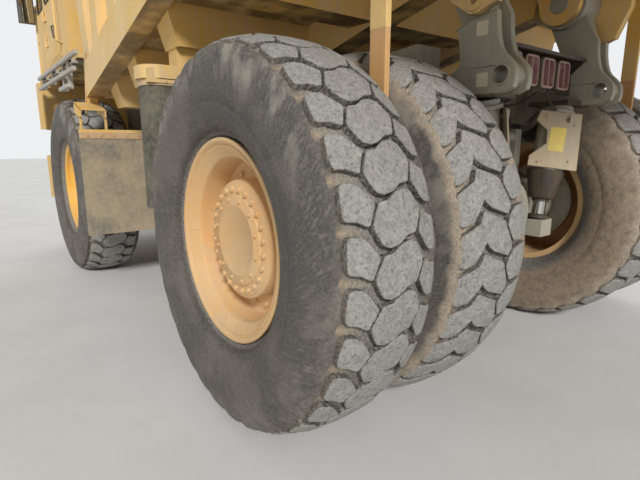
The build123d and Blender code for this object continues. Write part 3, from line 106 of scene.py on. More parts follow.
def piece(name, parts, material, body="chassis", replaces=()):
    """A mesh object of surfaces that rides on a body; each of its values becomes an attribute. Its
    one slot holds the finish it is given."""
    points, faces, values = joined(parts)
    mesh = bpy.data.meshes.new(name)
    counts = np.concatenate([np.full(len(f), f.shape[1], np.int32) for f in faces])
    corners = np.concatenate([f.ravel() for f in faces]).astype(np.int32)
    starts = np.concatenate([[0], np.cumsum(counts)[:-1]]).astype(np.int32)
    mesh.vertices.add(len(points))
    mesh.vertices.foreach_set("co", np.asarray(points, np.float32).ravel())
    mesh.loops.add(len(corners))
    mesh.loops.foreach_set("vertex_index", corners)
    mesh.polygons.add(len(counts))
    mesh.polygons.foreach_set("loop_start", starts)
    mesh.update(calc_edges=True)
    for key, numbers in values.items():
        layer = mesh.attributes.new(key, "FLOAT", "POINT")
        layer.data.foreach_set("value", np.asarray(numbers, np.float32))
    mesh.shade_smooth()
    mesh.set_sharp_from_angle(angle=math.radians(SMOOTH_DEG))
    mesh.materials.append(material)
    made = bpy.data.objects.new(name, mesh)
    bpy.context.scene.collection.objects.link(made)
    if replaces:
        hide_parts(*replaces)
    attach(made, body)
    return made


def axes(forward):
    """Two directions at right angles to forward, and forward itself, all of length 1."""
    forward = np.asarray(forward, float) / np.linalg.norm(forward)
    side = np.cross(forward, UP if abs(forward[2]) < 0.9 else AHEAD)
    side /= np.linalg.norm(side)
    return side, np.cross(forward, side), forward


def stacked(rings, low, high):
    """Rings of points (rows, columns, 3) one above the other, closed by a fan to the point low and
    one to the point high."""
    rows, columns = rings.shape[:2]
    points = np.concatenate([rings.reshape(-1, 3), [low, high]])
    quads = grid_quads(rows, columns, closed_columns=True)
    first, last = np.arange(columns), (rows - 1) * columns + np.arange(columns)
    ends = [np.stack([f, np.roll(f, -1), np.full(columns, rows * columns + k)], 1)
            for k, f in enumerate((first, last))]
    ends[0] = ends[0][:, ::-1]
    return outward(points, [quads] + ends)


def turned(profile, origin, axis, steps=48):
    """A profile of (mm along, mm radius) turned about an axis through origin, an (u, y, z) place:
    point = origin + along axis + radius (cos t side + sin t up). A profile that doesn't start at
    radius 0 is a closed loop."""
    side, up, axis = axes(axis)
    start = spots(origin)
    t = np.arange(steps)[:, None] * 2 * math.pi / steps
    circle = np.cos(t) * side + np.sin(t) * up
    along, radius = np.asarray(profile, float).T / 1000
    rings = start + along[:, None, None] * axis + radius[:, None, None] * circle
    if radius[0] > 0:
        quads = grid_quads(len(profile), steps, closed_rows=True, closed_columns=True)
        return outward(rings.reshape(-1, 3), [quads])
    return stacked(rings[1:-1], rings[0, 0], rings[-1, 0])


def rod(start, end, radius, steps=12, bevel=2):
    """A round bar between two (u, y, z) places with bevelled ends."""
    length = np.linalg.norm(np.subtract(end, start))
    profile = [(0, 0), (0, radius - bevel), (bevel, radius), (length - bevel, radius),
               (length, radius - bevel), (length, 0)]
    return turned(profile, start, np.subtract(end, start), steps)


def tube(path, radius, steps=10, closed=False):
    """A round tube along a path of (u, y, z) places: a circle in the plane at right angles to the
    path at each of them."""
    path = spots(path)
    along = np.roll(path, -1, 0) - np.roll(path, 1, 0)
    if not closed:
        along[0], along[-1] = path[1] - path[0], path[-1] - path[-2]
    along /= np.linalg.norm(along, axis=1)[:, None]
    least = np.eye(3)[np.argmin(np.abs(along).max(0))]
    side = np.cross(along, least)
    side /= np.linalg.norm(side, axis=1)[:, None]
    over = np.cross(along, side)
    t = np.arange(steps)[:, None] * 2 * math.pi / steps
    rings = (path[:, None] + radius / 1000
             * (np.cos(t) * side[:, None] + np.sin(t) * over[:, None]))
    if closed:
        quads = grid_quads(len(path), steps, closed_rows=True, closed_columns=True)
        return outward(rings.reshape(-1, 3), [quads])
    return stacked(rings, path[0], path[-1])


def hanging(start, end, sag, steps=12):
    """A path from start to end that hangs sag mm below the straight line: z falls by
    4 sag s (1 - s) at share s."""
    s = np.linspace(0, 1, steps)[:, None]
    path = np.asarray(start, float) * (1 - s) + np.asarray(end, float) * s
    path[:, 2:] -= 4 * sag * s * (1 - s)
    return path


def plate(outline, origin, axis, thick, bevel=2, up=None):
    """A flat outline of (mm right, mm up) points, thickened along an axis, with bevelled edges:
    rings of the outline, shrunk by the bevel at the two faces."""
    side, over, axis = axes(axis)
    if up is not None:
        over = np.asarray(up, float)
        side = np.cross(over, axis)
    outline = np.asarray(outline, float)
    middle = (outline.min(0) + outline.max(0)) / 2
    inner = middle + (outline - middle) * (1 - 2 * bevel / np.ptp(outline, 0))
    rings = []
    for flat, height in ((inner, 0), (outline, bevel), (outline, thick - bevel), (inner, thick)):
        rings.append((flat[:, :1] * side + flat[:, 1:] * over + height * axis) / 1000)
    start = spots(origin)
    mid = (middle[0] * side + middle[1] * over) / 1000
    return stacked(start + np.array(rings), start + mid, start + mid + thick / 1000 * axis)


def rounded(width, height, corner, steps=4):
    """Outline of a rectangle about its middle with rounded corners."""
    t = np.linspace(0, math.pi / 2, steps)
    quarter = (np.stack([np.cos(t), np.sin(t)], 1) * corner
               + (width / 2 - corner, height / 2 - corner))
    half = np.concatenate([quarter, quarter[::-1] * (-1, 1)])
    return np.concatenate([half, -half])


def box(low, high, bevel=3):
    """A box between two (u, y, z) corners with bevelled edges."""
    low, high = np.asarray(low, float), np.asarray(high, float)
    size = high - low
    middle = ((low[0] + high[0]) / 2, (low[1] + high[1]) / 2, low[2])
    return plate(rectangle(-size[:2] / 2, size[:2] / 2), middle, UP, size[2], bevel, up=LEFT)


# A hexagon head on its washer, for half a unit across: along, radius.
BOLT = [(0, 0), (0, 1.15), (0.15, 1.15), (0.2, 0.97), (0.9, 0.97), (1.05, 0.8), (1.05, 0)]


def bolts(places, axis, half_across, steps=6):
    """Hexagon heads on washers at (u, y, z) places, half_across mm to the flats."""
    profile = np.array(BOLT) * (half_across, half_across * 1.12)
    return [turned(profile, place, axis, steps) for place in places]


def circle_of(middle, axis, radius, count, shift=0.0):
    """Places on a circle about an axis through the middle."""
    side, up, _ = axes(axis)
    t = (np.arange(count) + shift)[:, None] * 2 * math.pi / count
    return np.asarray(middle, float) + radius * (np.cos(t) * side + np.sin(t) * up)


def both(parts):
    """The surfaces and their mirror images."""
    return parts + [mirrored(part) for part in parts]


def on_side(parts, side):
    """The surfaces, or their mirror images where side is -1."""
    return parts if side > 0 else [mirrored(part) for part in parts]


def rectangle(low, high):
    """Outline between two corners in a plane."""
    return [low, (high[0], low[1]), high, (low[0], high[1])]


def sheet(outline, low, high, across="y", holes=(), bevel=1.5):
    """A flat plate with holes between two heights along an axis. Its outline and its holes are
    lists of places in the two other directions, in the order u, y, z. Its faces are the triangles
    between the outline and the holes, and its edges are walls that step in by the bevel."""
    fixed = "uyz".index(across)
    free = [k for k in range(3) if k != fixed]
    loops = [np.asarray(outline, float)] + [np.asarray(hole, float) for hole in holes]
    ends = np.cumsum([len(loop) for loop in loops])
    flat = np.concatenate(loops)
    caps = tessellate_polygon([[Vector((*p, 0)) for p in loop] for loop in loops])
    caps = np.array([tri for tri in caps if len(set(tri)) == 3])
    inner = []
    for number, loop in enumerate(loops):
        along = np.roll(loop, -1, 0) - np.roll(loop, 1, 0)
        normal = np.stack([along[:, 1], -along[:, 0]], 1)
        normal /= np.linalg.norm(normal, axis=1)[:, None] + 1e-9
        area = np.sum(loop[:, 0] * np.roll(loop[:, 1], -1) - loop[:, 1] * np.roll(loop[:, 0], -1))
        outwards = np.sign(area) * (1 if number == 0 else -1)
        inner.append(loop - normal * outwards * bevel)
    inner = np.concatenate(inner)
    rings = []
    for form, height in ((inner, low), (flat, low + bevel), (flat, high - bevel), (inner, high)):
        ring_points = np.zeros((len(flat), 3))
        ring_points[:, free] = form
        ring_points[:, fixed] = height
        rings.append(ring_points)
    count = len(flat)
    walls = []
    for start, end in zip(np.concatenate([[0], ends[:-1]]), ends):
        quads = grid_quads(4, end - start, closed_columns=True)
        rows, columns = quads // (end - start), quads % (end - start)
        walls.append(rows * count + columns + start)
    return capped(spots(np.concatenate(rings)), np.concatenate(walls), caps, 3 * count)


def capped(points, walls, caps, last):
    """The closed surface of walls between two caps, the second one that many points on."""
    faces = [walls, np.concatenate([caps[:, ::-1], caps + last])]
    if not matched(*faces):
        faces[1] = faces[1][:, ::-1]
    return outward(points, faces)


def matched(quads, triangles):
    """Whether the triangles run against the quads along an edge that they share."""
    edges = {tuple(edge) for k in range(4) for edge in zip(quads[:, k], quads[:, (k + 1) % 4])}
    for k in range(3):
        for edge in zip(triangles[:, k], triangles[:, (k + 1) % 3]):
            if tuple(edge) in edges:
                return False
    return True


def circle(middle, radius, steps=36):
    """Places round a circle in a plane."""
    t = np.arange(steps) * 2 * math.pi / steps
    return np.stack([middle[0] + radius * np.cos(t), middle[1] + radius * np.sin(t)], 1)


def bent(path, low, high, thick):
    """A sheet that stands on a path of (u, y) places, from z low to z high, its thickness to the
    left of the path."""
    path = np.asarray(path, float)
    along = np.gradient(path, axis=0)
    along /= np.linalg.norm(along, axis=1)[:, None]
    off = np.stack([-along[:, 1], along[:, 0]], 1)
    outline = np.concatenate([path, (path + off * thick)[::-1]])
    return sheet(outline, low, high, "z")


def ring(middle, axis, inner, outer, width, steps=40):
    """A band with rounded edges round an axis."""
    profile = [(0, inner), (0, outer - 3), (3, outer), (width - 3, outer), (width, outer - 3),
               (width, inner)]
    return turned(profile, middle, axis, steps)


def frame_of_tube(corners, radius, corner=30, steps=4):
    """A closed tube round a flat outline of (u, y, z) corners, cut back at each corner."""
    corners = np.asarray(corners, float)
    path = []
    for before, here, after in zip(np.roll(corners, 1, 0), corners, np.roll(corners, -1, 0)):
        start = here + (before - here) / np.linalg.norm(before - here) * corner
        end = here + (after - here) / np.linalg.norm(after - here) * corner
        for s in np.linspace(0, 1, steps):
            path.append(start * (1 - s) ** 2 + here * 2 * s * (1 - s) + end * s ** 2)
    return tube(path, radius, 8, closed=True)


def dome(middle, axis, radius, depth, steps=32):
    """A shallow lens: radius cos t, depth sin t."""
    t = np.linspace(0, math.pi / 2, 7)
    curve = [(depth * math.sin(a), radius * math.cos(a)) for a in t[:-1]]
    return turned([(-4, 0), (-4, radius)] + curve + [(depth, 0)], middle, axis, steps)


# Materials. Colours are sRGB values, pattern sizes are in mm.

# The first is the brown of mud and painted shade on faces turned down, the second a dust film on
# glass.
MUD_AND_SHADE, FILM = "#4A3624", "#C4AC8C"
# Mm between the bands of a wave texture at scale 1.
BAND_MM = 314
# The value "top" of the grooves' floor: blocks have 1 on top and 0 on their flanks.
GROOVE_TOP = 0.3
FLASH_RUST, BRIGHT_SCRATCH = "#8C6B50", "#B9B2A6"
# The load space between its sides, and its floor: z at x = 0 and its fall per metre ahead.
LOAD_HALF_M, FLOOR_M, FLOOR_SLOPE = 1.939, 2.47, 0.2345
# Tread rubber: nicks and pits in the blocks, painted shade on their flanks, and the grit on all of
# it.
NICK, PIT, FLANK_SHADE, GRIT = "#B4B3AE", "#5B5A57", "#3B3936", "#C2BBAD"
# Sidewall rubber in two tones, its dust, its scratches, and painted shade in a ring at the rim.
WALL, WALL_FADED, WALL_DUST, WALL_SCRATCH, WALL_RIM_SHADE = ("#524E4A", "#655F58", "#A0978A", "#9B968C",
                                                        "#35322F")


def colour(text):
    """Linear RGBA of an sRGB hex value."""
    rgb = np.array([int(text[i:i + 2], 16) for i in (1, 3, 5)]) / 255
    return (*np.where(rgb <= 0.04045, rgb / 12.92, ((rgb + 0.055) / 1.055) ** 2.4), 1.0)


def add(tree, kind, inputs=None, **settings):
    """Adds a node with its settings. An input is a value, or the output that it is linked to."""
    made = tree.nodes.new("ShaderNode" + kind)
    for key, value in settings.items():
        setattr(made, key, value)
    for key, value in (inputs or {}).items():
        if isinstance(value, bpy.types.NodeSocket):
            tree.links.new(value, made.inputs[key])
        else:
            made.inputs[key].default_value = value
    return made.outputs


def mixed(tree, share, low, high):
    """The colour between low and high at share. Each is an output or an sRGB hex value."""
    low, high = (colour(c) if isinstance(c, str) else c for c in (low, high))
    return add(tree, "Mix", {0: share, 6: low, 7: high}, data_type="RGBA")[2]


def ramp(tree, value, low, high, start=0.0, end=1.0):
    """start to end, as the value goes from low to high."""
    return add(tree, "MapRange", {0: value, 1: low, 2: high, 3: start, 4: end},
               interpolation_type="SMOOTHSTEP")[0]


def patches(tree, place, size_mm, low, high, stretch=(1, 1, 1), detail=6, roughness=0.6):
    """0 to 1 patches about size_mm across: noise cut between low and high."""
    moved = add(tree, "Mapping", {0: place, "Scale": stretch})[0]
    noise = add(tree, "TexNoise", {"Vector": moved, "Scale": 1000 / size_mm, "Detail": detail,
                                   "Roughness": roughness})
    return ramp(tree, noise[0], low, high)


def product(tree, *factors):
    """All the factors multiplied."""
    result = factors[0]
    for factor in factors[1:]:
        result = add(tree, "Math", {0: result, 1: factor}, operation="MULTIPLY")[0]
    return result


def new_material(name):
    """An empty node material: (material, tree, object coordinates, object normal)."""
    material = bpy.data.materials.new(name)
    material.use_nodes = True
    material.node_tree.nodes.clear()
    where = add(material.node_tree, "TexCoord")
    return material, material.node_tree, where["Object"], where["Normal"]


def grain(tree, place, grain_mm, strength, depth_mm):
    """The normal of a grainy surface."""
    grit = add(tree, "TexNoise", {"Vector": place, "Scale": 1000 / grain_mm, "Detail": 4})[0]
    return add(tree, "Bump", {"Strength": strength, "Distance": depth_mm / 1000, "Height": grit})[0]


def shaded(tree, inputs):
    """The material's surface from the inputs of its shader."""
    add(tree, "OutputMaterial", {0: add(tree, "BsdfPrincipled", inputs)[0]})


def coated(name, fresh, faded, dust, rust, dusty=0.5, rusty=0.3, rough=0.55, metallic=0.0,
           grain_mm=4, streaks=0.5, mud_and_shade=0.0, worn=None):
    """Paint or bare metal outdoors: fresh and faded colour in broad patches, dust that lies on what
    faces up and runs down in streaks, mud and painted shade under what faces down, chips with rust
    in them, and, with a worn colour, a load space rubbed bare."""
    material, tree, place, normal = new_material(name)
    up = add(tree, "SeparateXYZ", {0: normal})[2]
    lies = ramp(tree, up, -0.3, 0.9, 0.35, 1.0)
    broad = patches(tree, place, 700, 0.35, 0.65)
    small = patches(tree, place, 90, 0.42, 0.62, detail=9, roughness=0.7)
    runs = patches(tree, place, 60, 0.45, 0.65, stretch=(1, 1, 0.08), detail=5)
    chips = patches(tree, place, 22, 0.64, 0.69, detail=8, roughness=0.65)
    wet = patches(tree, place, 420, 0.45, 0.6)
    base = mixed(tree, broad, fresh, faded)
    veil = ramp(tree, product(tree, small, lies), 0.0, 1.0, dusty * 0.35, dusty * 1.35)
    dusted = mixed(tree, veil, base, dust)
    lined = mixed(tree, product(tree, runs, streaks), dusted, dust)
    done = mixed(tree, product(tree, chips, wet, rusty), lined, rust)
    if mud_and_shade:
        # Mud and painted shade: faces turned down darken to brown in patches.
        caked = patches(tree, place, 260, 0.25, 0.6, detail=8)
        below = ramp(tree, up, -0.75, -0.2, 1.0, 0.0)
        done = mixed(tree, product(tree, caked, below, mud_and_shade), done, MUD_AND_SHADE)
    if worn:
        done = load_wear(tree, place, done, worn)
    shaded(tree, {"Base Color": done, "Metallic": metallic,
                  "Roughness": ramp(tree, veil, 0.0, 1.0, rough, 0.9),
                  "Normal": grain(tree, place, grain_mm, 0.35, 1.5)})
    return material


def load_wear(tree, place, outer, worn):
    """The load space between the sides, rubbed to bare steel by rock, with long scratches."""
    x, y, z = add(tree, "SeparateXYZ", {0: place})
    away = add(tree, "Math", {0: y}, operation="ABSOLUTE")[0]
    inside = ramp(tree, away, LOAD_HALF_M - 0.002, LOAD_HALF_M + 0.002, 1.0, 0.0)
    above = add(tree, "Math", {0: x, 1: FLOOR_SLOPE, 2: z}, operation="MULTIPLY_ADD")[0]
    inside = product(tree, inside, ramp(tree, above, FLOOR_M, FLOOR_M + 0.02))
    scratch = patches(tree, place, 35, 0.5, 0.62, stretch=(0.1, 1, 1), detail=8)
    blotch = patches(tree, place, 500, 0.4, 0.6, detail=8)
    steel = mixed(tree, blotch, worn, FLASH_RUST)
    steel = mixed(tree, product(tree, scratch, 0.6), steel, BRIGHT_SCRATCH)
    return mixed(tree, inside, outer, steel)


def rubber(name, bare, worn, dust, groove):
    """Tyre rubber: abraded where the value "top" is 1, painted shade at 0 on the flanks of the
    blocks, dirt packed in at GROOVE_TOP, clay where "clay" is 1, and pale scratches, dust rings and
    a ring of painted shade by the rim where "side" is 1. They follow the angle about the axle at the
    value "axle" and the radius."""
    material, tree, place, _ = new_material(name)
    top, side, clay, axle = [add(tree, "Attribute", attribute_name=key)["Fac"]
                             for key in ("top", "side", "clay", "axle")]
    x, y, z = add(tree, "SeparateXYZ", {0: place})
    dx = add(tree, "Math", {0: x, 1: axle}, operation="SUBTRACT")[0]
    dz = add(tree, "Math", {0: z, 1: AXLE_Z / 1000}, operation="SUBTRACT")[0]
    turn = add(tree, "Math", {0: dx, 1: dz}, operation="ARCTAN2")[0]
    radius = add(tree, "VectorMath", {0: add(tree, "CombineXYZ", {0: dx, 1: dz})[0]},
                 operation="LENGTH")["Value"]
    polar = add(tree, "CombineXYZ", {0: turn, 1: radius, 2: y})[0]
    slanted = add(tree, "Mapping", {0: polar, "Rotation": (0, 0, 0.6)})[0]
    scratch = patches(tree, slanted, 16, 0.52, 0.66, stretch=(1, 0.12, 1), detail=7)
    wide = patches(tree, slanted, 150, 0.45, 0.62, stretch=(1, 0.45, 1), detail=8)
    mottled = patches(tree, place, 45, 0.35, 0.65, detail=9, roughness=0.75)
    broad = patches(tree, place, 330, 0.42, 0.6, detail=6)
    fine = patches(tree, place, 13, 0.35, 0.7, detail=4)
    nicks = patches(tree, place, 24, 0.58, 0.66, stretch=(1, 0.25, 1), detail=6)
    blocks = mixed(tree, product(tree, mottled, 0.7), worn, bare)
    blocks = mixed(tree, product(tree, nicks, 0.5), blocks, NICK)
    pits = patches(tree, place, 17, 0.57, 0.63, detail=4)
    blocks = mixed(tree, product(tree, pits, 0.75), blocks, PIT)
    # Painted shade: the blocks' flanks are dark, and the grooves' floor takes the groove's dirt
    # colour.
    low = mixed(tree, ramp(tree, top, 0.0, GROOVE_TOP), FLANK_SHADE, groove)
    tread = mixed(tree, ramp(tree, top, GROOVE_TOP, 1.0), low, blocks)
    ring = ramp(tree, radius, 0.80, 0.93)
    # Painted shade: a dark ring on the wall by the rim's lip.
    rim_shade = ramp(tree, radius, 0.585, 0.63, 1.0, 0.0)
    high = ramp(tree, z, 0.7, 1.9, 0.25, 1.0)
    wall = mixed(tree, broad, WALL, WALL_FADED)
    wall = mixed(tree, product(tree, wide, ring, high, 0.8), wall, WALL_DUST)
    scored = product(tree, scratch, ramp(tree, radius, 0.66, 0.98, 0.05, 0.32))
    wall = mixed(tree, scored, wall, WALL_SCRATCH)
    wall = mixed(tree, product(tree, rim_shade, 0.6), wall, WALL_RIM_SHADE)
    both_faces = mixed(tree, side, tread, wall)
    packed = product(tree, clay, ramp(tree, mottled, 0.0, 1.0, 0.45, 1.0),
                     ramp(tree, top, 0.0, 1.0, 1.0, 0.0))
    both_faces = mixed(tree, packed, both_faces, dust)
    specks = product(tree, fine, ramp(tree, side, 0.0, 1.0, 0.42, 0.12))
    speckled = mixed(tree, specks, both_faces, GRIT)
    shaded(tree, {"Base Color": speckled, "Roughness": 0.85,
                  "Normal": grain(tree, place, 9, 0.8, 3)})
    return material


def sheet_rubber(name, bare, dust, caked):
    """Sheet rubber with a broad veil of clay and scribbled scratches."""
    material, tree, place, _ = new_material(name)
    broad = patches(tree, place, 420, 0.36, 0.6, detail=8)
    small = patches(tree, place, 40, 0.4, 0.65, detail=9, roughness=0.75)
    lines = patches(tree, place, 70, 0.49, 0.51, detail=2)
    edge = patches(tree, place, 70, 0.51, 0.53, detail=2)
    scribble = product(tree, lines, ramp(tree, edge, 0.0, 1.0, 1.0, 0.0))
    base = mixed(tree, broad, bare, dust)
    base = mixed(tree, product(tree, small, 0.5), base, caked)
    base = mixed(tree, product(tree, scribble, 0.35), base, bare)
    shaded(tree, {"Base Color": base, "Roughness": 0.9,
                  "Normal": grain(tree, place, 7, 0.4, 1.5)})
    return material


def clear(name, tint, rough, alpha=1.0, transmission=1.0, ribs_mm=0):
    """Glass or lens plastic with a film of dust, ribbed where ribs_mm is given."""
    material, tree, place, _ = new_material(name)
    film = patches(tree, place, 120, 0.45, 0.7, detail=8)
    inputs = {"Base Color": mixed(tree, product(tree, film, 0.3), tint, FILM),
              "Roughness": ramp(tree, film, 0.0, 1.0, rough, rough + 0.35),
              "Transmission Weight": transmission, "IOR": 1.5, "Alpha": alpha}
    if ribs_mm:
        wave = add(tree, "TexWave", {"Vector": place, "Scale": BAND_MM / ribs_mm},
                   bands_direction="Y")["Fac"]
        inputs["Normal"] = add(tree, "Bump", {"Strength": 0.6, "Distance": 0.002,
                                              "Height": wave})[0]
    shaded(tree, inputs)
    return material


# Two-pack enamel sprayed on welded plate, bleached by sun and covered with quarry dust.
YELLOW = coated("sprayed_enamel_yellow", "#EBB846", "#EDC983", "#D9BD95", "#8A5A34", mud_and_shade=0.85)
# The same enamel inside the load space, rubbed to bare steel.
TUB = coated("sprayed_enamel_worn_tub", "#EDC05C", "#F0D095", "#DCC29C", "#8A5A34", mud_and_shade=0.7,
             worn="#7F746A")
# The same enamel on pressed wheel rims, rubbed dull by dust and brake heat.
RIM = coated("rim_enamel_yellow", "#E2B070", "#E8C48E", "#D8B890", "#8A5730", dusty=0.65,
             rusty=0.6, streaks=0.35)
# Yellow enamel on the front rims, less dusty.
RIM_FRONT = coated("rim_enamel_front", "#F0B428", "#EDC05C", "#D8B890", "#8A5730", dusty=0.35)
# Grey primer paint on castings under pale dust.
GREY = coated("casting_paint_grey", "#8F8F88", "#A6A497", "#C2B498", "#7C6046", dusty=0.5,
              rusty=0.8, streaks=0.25, mud_and_shade=0.7)
# Pale grey paint on the walkway bars.
PALE = coated("walkway_paint_pale", "#B9B8B2", "#A7A59C", "#B7A78C", "#7A5A3C", dusty=0.4)
# Black chassis paint with oil, and dried mud with painted shade under what faces down.
DARK = coated("chassis_paint_black", "#26231F", "#38312A", "#6A5844", "#5A3A22", dusty=0.45,
              mud_and_shade=0.8)
# Hard chromed and ground rod, with an oil film.
CHROME = coated("chromed_rod_steel", "#B9B9B4", "#A9A8A2", "#A89A86", "#7A5A3C", dusty=0.15,
                rusty=0.1, rough=0.22, metallic=1.0, streaks=0.1)
# Zinc plated bolts under dust.
ZINC = coated("zinc_plated_fasteners", "#8E8C86", "#A19C90", "#C0A682", "#7A5230", dusty=0.4,
              rusty=0.6, rough=0.4, metallic=0.7)
# Black injection-moulded polypropylene, chalky with dust.
PLASTIC = coated("moulded_polypropylene_black", "#1C1C1D", "#2A2A2B", "#8A7C68", "#4A3A2C",
                 dusty=0.3, rusty=0.0, rough=0.5)
# Reinforced hose rubber.
HOSE = coated("hose_rubber_black", "#191918", "#232220", "#6A5E4E", "#2A2622", dusty=0.3,
              rusty=0.0, rough=0.7)
# Natural rubber tread, abraded grey on the blocks, with dirt packed in the grooves.
TYRE = rubber("vulcanised_tyre_rubber", "#71716E", "#999894", "#B9A184", "#6B6862")
# Calendered rubber sheet of the mud flaps.
FLAP = sheet_rubber("calendered_rubber_sheet", "#7C766C", "#A8997F", "#BBA98C")
# Woven upholstery, dark.
CLOTH = coated("woven_seat_cloth", "#1E1F22", "#2A2B2F", "#6A6258", "#3A3A3A", dusty=0.15,
               rusty=0.0, rough=0.95, grain_mm=2, streaks=0.0)
# Tinted toughened glass.
GLASS = clear("toughened_glass_tinted", "#5E6E70", 0.03, alpha=0.45)
# Moulded acrylic lenses.
RED_LENS = clear("moulded_acrylic_red", "#6E1F22", 0.2, transmission=0.15, ribs_mm=6)
CLEAR_LENS = clear("pressed_lamp_glass", "#D8DCDC", 0.05, transmission=0.6, ribs_mm=9)
# Silvered mirror glass.
MIRROR = coated("silvered_mirror_glass", "#D5D8DA", "#CDD1D3", "#B8A890", "#8A8A8A", dusty=0.12,
                rusty=0.0, rough=0.04, metallic=1.0, grain_mm=200, streaks=0.1)
# Adhesive vinyl labels, bare.
LABEL = coated("vinyl_label_cream", "#E6E0CF", "#DCD2B8", "#C8B594", "#8A7A5A", dusty=0.35,
               rusty=0.2, rough=0.4, streaks=0.1)
LABEL_YELLOW = coated("vinyl_label_yellow", "#EBCB3A", "#E2C84E", "#C8B594", "#8A7A5A",
                      dusty=0.25, rusty=0.1, rough=0.4, streaks=0.1)
# Painted steel strip under a layer of pale clay.
CLAY = coated("clay_on_steel_strip", "#C79B6A", "#C9A67C", "#CDB592", "#7A4A2A", dusty=0.6,
              rusty=0.9)
# Enamel rubbed by stones to a tan primer.
EJECTOR = coated("enamel_rubbed_to_primer", "#E0AE60", "#D5A87A", "#C99C74", "#8A5A34",
                 dusty=0.6, rusty=0.7)
# Painted lamp frame, faded and dusty.
LAMP_FRAME = coated("faded_lamp_frame", "#9C7A72", "#B0948A", "#C4AC94", "#6A4A3A", dusty=0.5)
# Grey guard plate, tan with dust.
GUARD_PAINT = coated("guard_paint_tan", "#A49C8C", "#B7A88C", "#CDB592", "#7A5A3C", dusty=0.7,
                     rusty=0.7)
# Rubber sheet darkened with painted shade for the body's shadow, greenish grey with little dust.
PAINTED_SHADE_RUBBER = sheet_rubber("rubber_sheet_painted_shade", "#4A4A44", "#6A675C", "#8F8468")

FINISH = {
    "yellow_paint": YELLOW, "rim_paint": RIM, "grey_paint": GREY, "dark_steel": DARK,
    "bright_steel": CHROME, "tyre_rubber": TYRE, "flap_rubber": FLAP, "lens_red": RED_LENS,
    "lens_clear": CLEAR_LENS, "window_glass": GLASS, "seat_cloth": CLOTH, "black_plastic": PLASTIC,
}
OWN_FINISH = {
    "body_tub": TUB, "side_steps": PALE, "wheel_front_left": RIM_FRONT,
    "wheel_front_right": RIM_FRONT,
}


def finish_nodes():
    """Every slot of the carried-over nodes gets its finish."""
    for name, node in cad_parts.items():
        for place in node.material_slots:
            found = [slot for slot in FINISH if slot in place.material.name]
            place.material = OWN_FINISH.get(name) or (FINISH[found[0]] if found else YELLOW)


# Tyres

PITCHES = 32
PITCH = 2 * math.pi / PITCHES
TURN_STEPS = 192
# The twin tyres' middles, measured in the photo: they sit further in than the plain ones.
REAR_TYRES_Y = (("outer", 1883), ("inner", 1130))
# Carcass from the middle to the bead: mm across, radius in mm.
CARCASS = [(0, 1036), (120, 1031), (215, 1008), (248, 997), (262, 1000), (272, 1013), (285, 1006),
           (298, 985), (308, 957), (314, 930), (319, 905), (323, 888), (325, 860), (327, 800),
           (325, 744), (322, 740), (321, 728), (314, 690), (303, 655), (290, 625), (277, 604),
           (272, 599), (262, 590), (240, 576), (225, 562), (205, 552), (190, 537)]
# Crown of the blocks: mm across, radius in mm.
CROWN = [(0, 1072), (120, 1067), (225, 1040), (262, 1021), (282, 1008), (300, 982), (314, 932)]
# Outlines of the blocks: mm across, pitches of 11.25 degrees. The outer tyre's centre block is a
# half and the same turned about its middle. Its right row is the left one turned.
CENTRE_HALF = [(92, .322), (40, .356), (-6, .50), (-54, .555), (-94, .489), (-130, .19),
               (-132, .06)]
SHOULDER = [(250, .36), (243, .69), (233, .75), (192, .734), (165, .645), (117, .34), (114, .28),
            (148, -.10), (160, -.10), (197, .0), (240, .035), (248, .11)]
# The inner tyre is another make: chevrons over two thirds of its width and one row of blocks.
# The chevron's rings shrink towards a point above its notch.
CHEVRON = [(280, .57), (218, .77), (183, .84), (155, 1.14), (93, 1.01), (5, .84), (-4, .70),
           (-52, .30), (-52, .15), (-24, -.01), (99, .17), (131, .28), (149, .41), (186, .12),
           (222, -.10), (259, -.19), (281, -.18), (284, .06), (283, .39)]
CHEVRON_MIDDLE = (140, .70)
EDGE_ROW = [(-20, .72), (-70, .32), (-150, .36), (-255, .45), (-262, .80), (-240, 1.22),
            (-100, 1.17), (-45, .98)]
CHEVRON_PHASE = 0.9
TREAD_PHASE = 0.155
# The grooves' outer ends, in pitches after each block's own place.
GROOVE_END, CHEVRON_GROOVE_END = 0.85, 0.7
# How much of a side is cut off at each corner of a block.
CORNER_CUT = 0.10
# Mm across where the shoulder begins and ends, and the lowest radius that counts as shoulder.
SHOULDER_FROM, SHOULDER_TO, SHOULDER_LOW = 255, 312, 900
GROOVE_DIP = 14
# Rings of a block: share of its outline, and mm above the crown. The first one is in the carcass,
# and what lies above BLOCK_FLANK is the worn top.
BLOCK_FLANK = -6
BLOCK_RINGS = ((1.03, -44), (1.005, -6), (0.99, -2), (0.965, 0), (0.66, 0), (0.33, 0))


def cut_corners(corners):
    """Each side of the closed outline keeps its points at the share CORNER_CUT from either end."""
    points, share = np.array(corners, float), CORNER_CUT
    following = np.roll(points, -1, 0)
    return np.stack([points * (1 - share) + following * share,
                     points * share + following * (1 - share)], 1).reshape(-1, 2)


def around_axle(across, turns, radius, middle_y, axle_u):
    """Points at an angle from the rearmost point towards the top, at a radius from the axle:
    x = -radius cos, z = radius sin, all from mm. What would sink into the floor is pressed flat."""
    z = np.maximum(AXLE_Z + radius * np.sin(turns), 1)
    return np.stack([axle_u - radius * np.cos(turns), middle_y + across, z],
                    -1).reshape(-1, 3) / 1000 + (REAR_X, 0, 0)


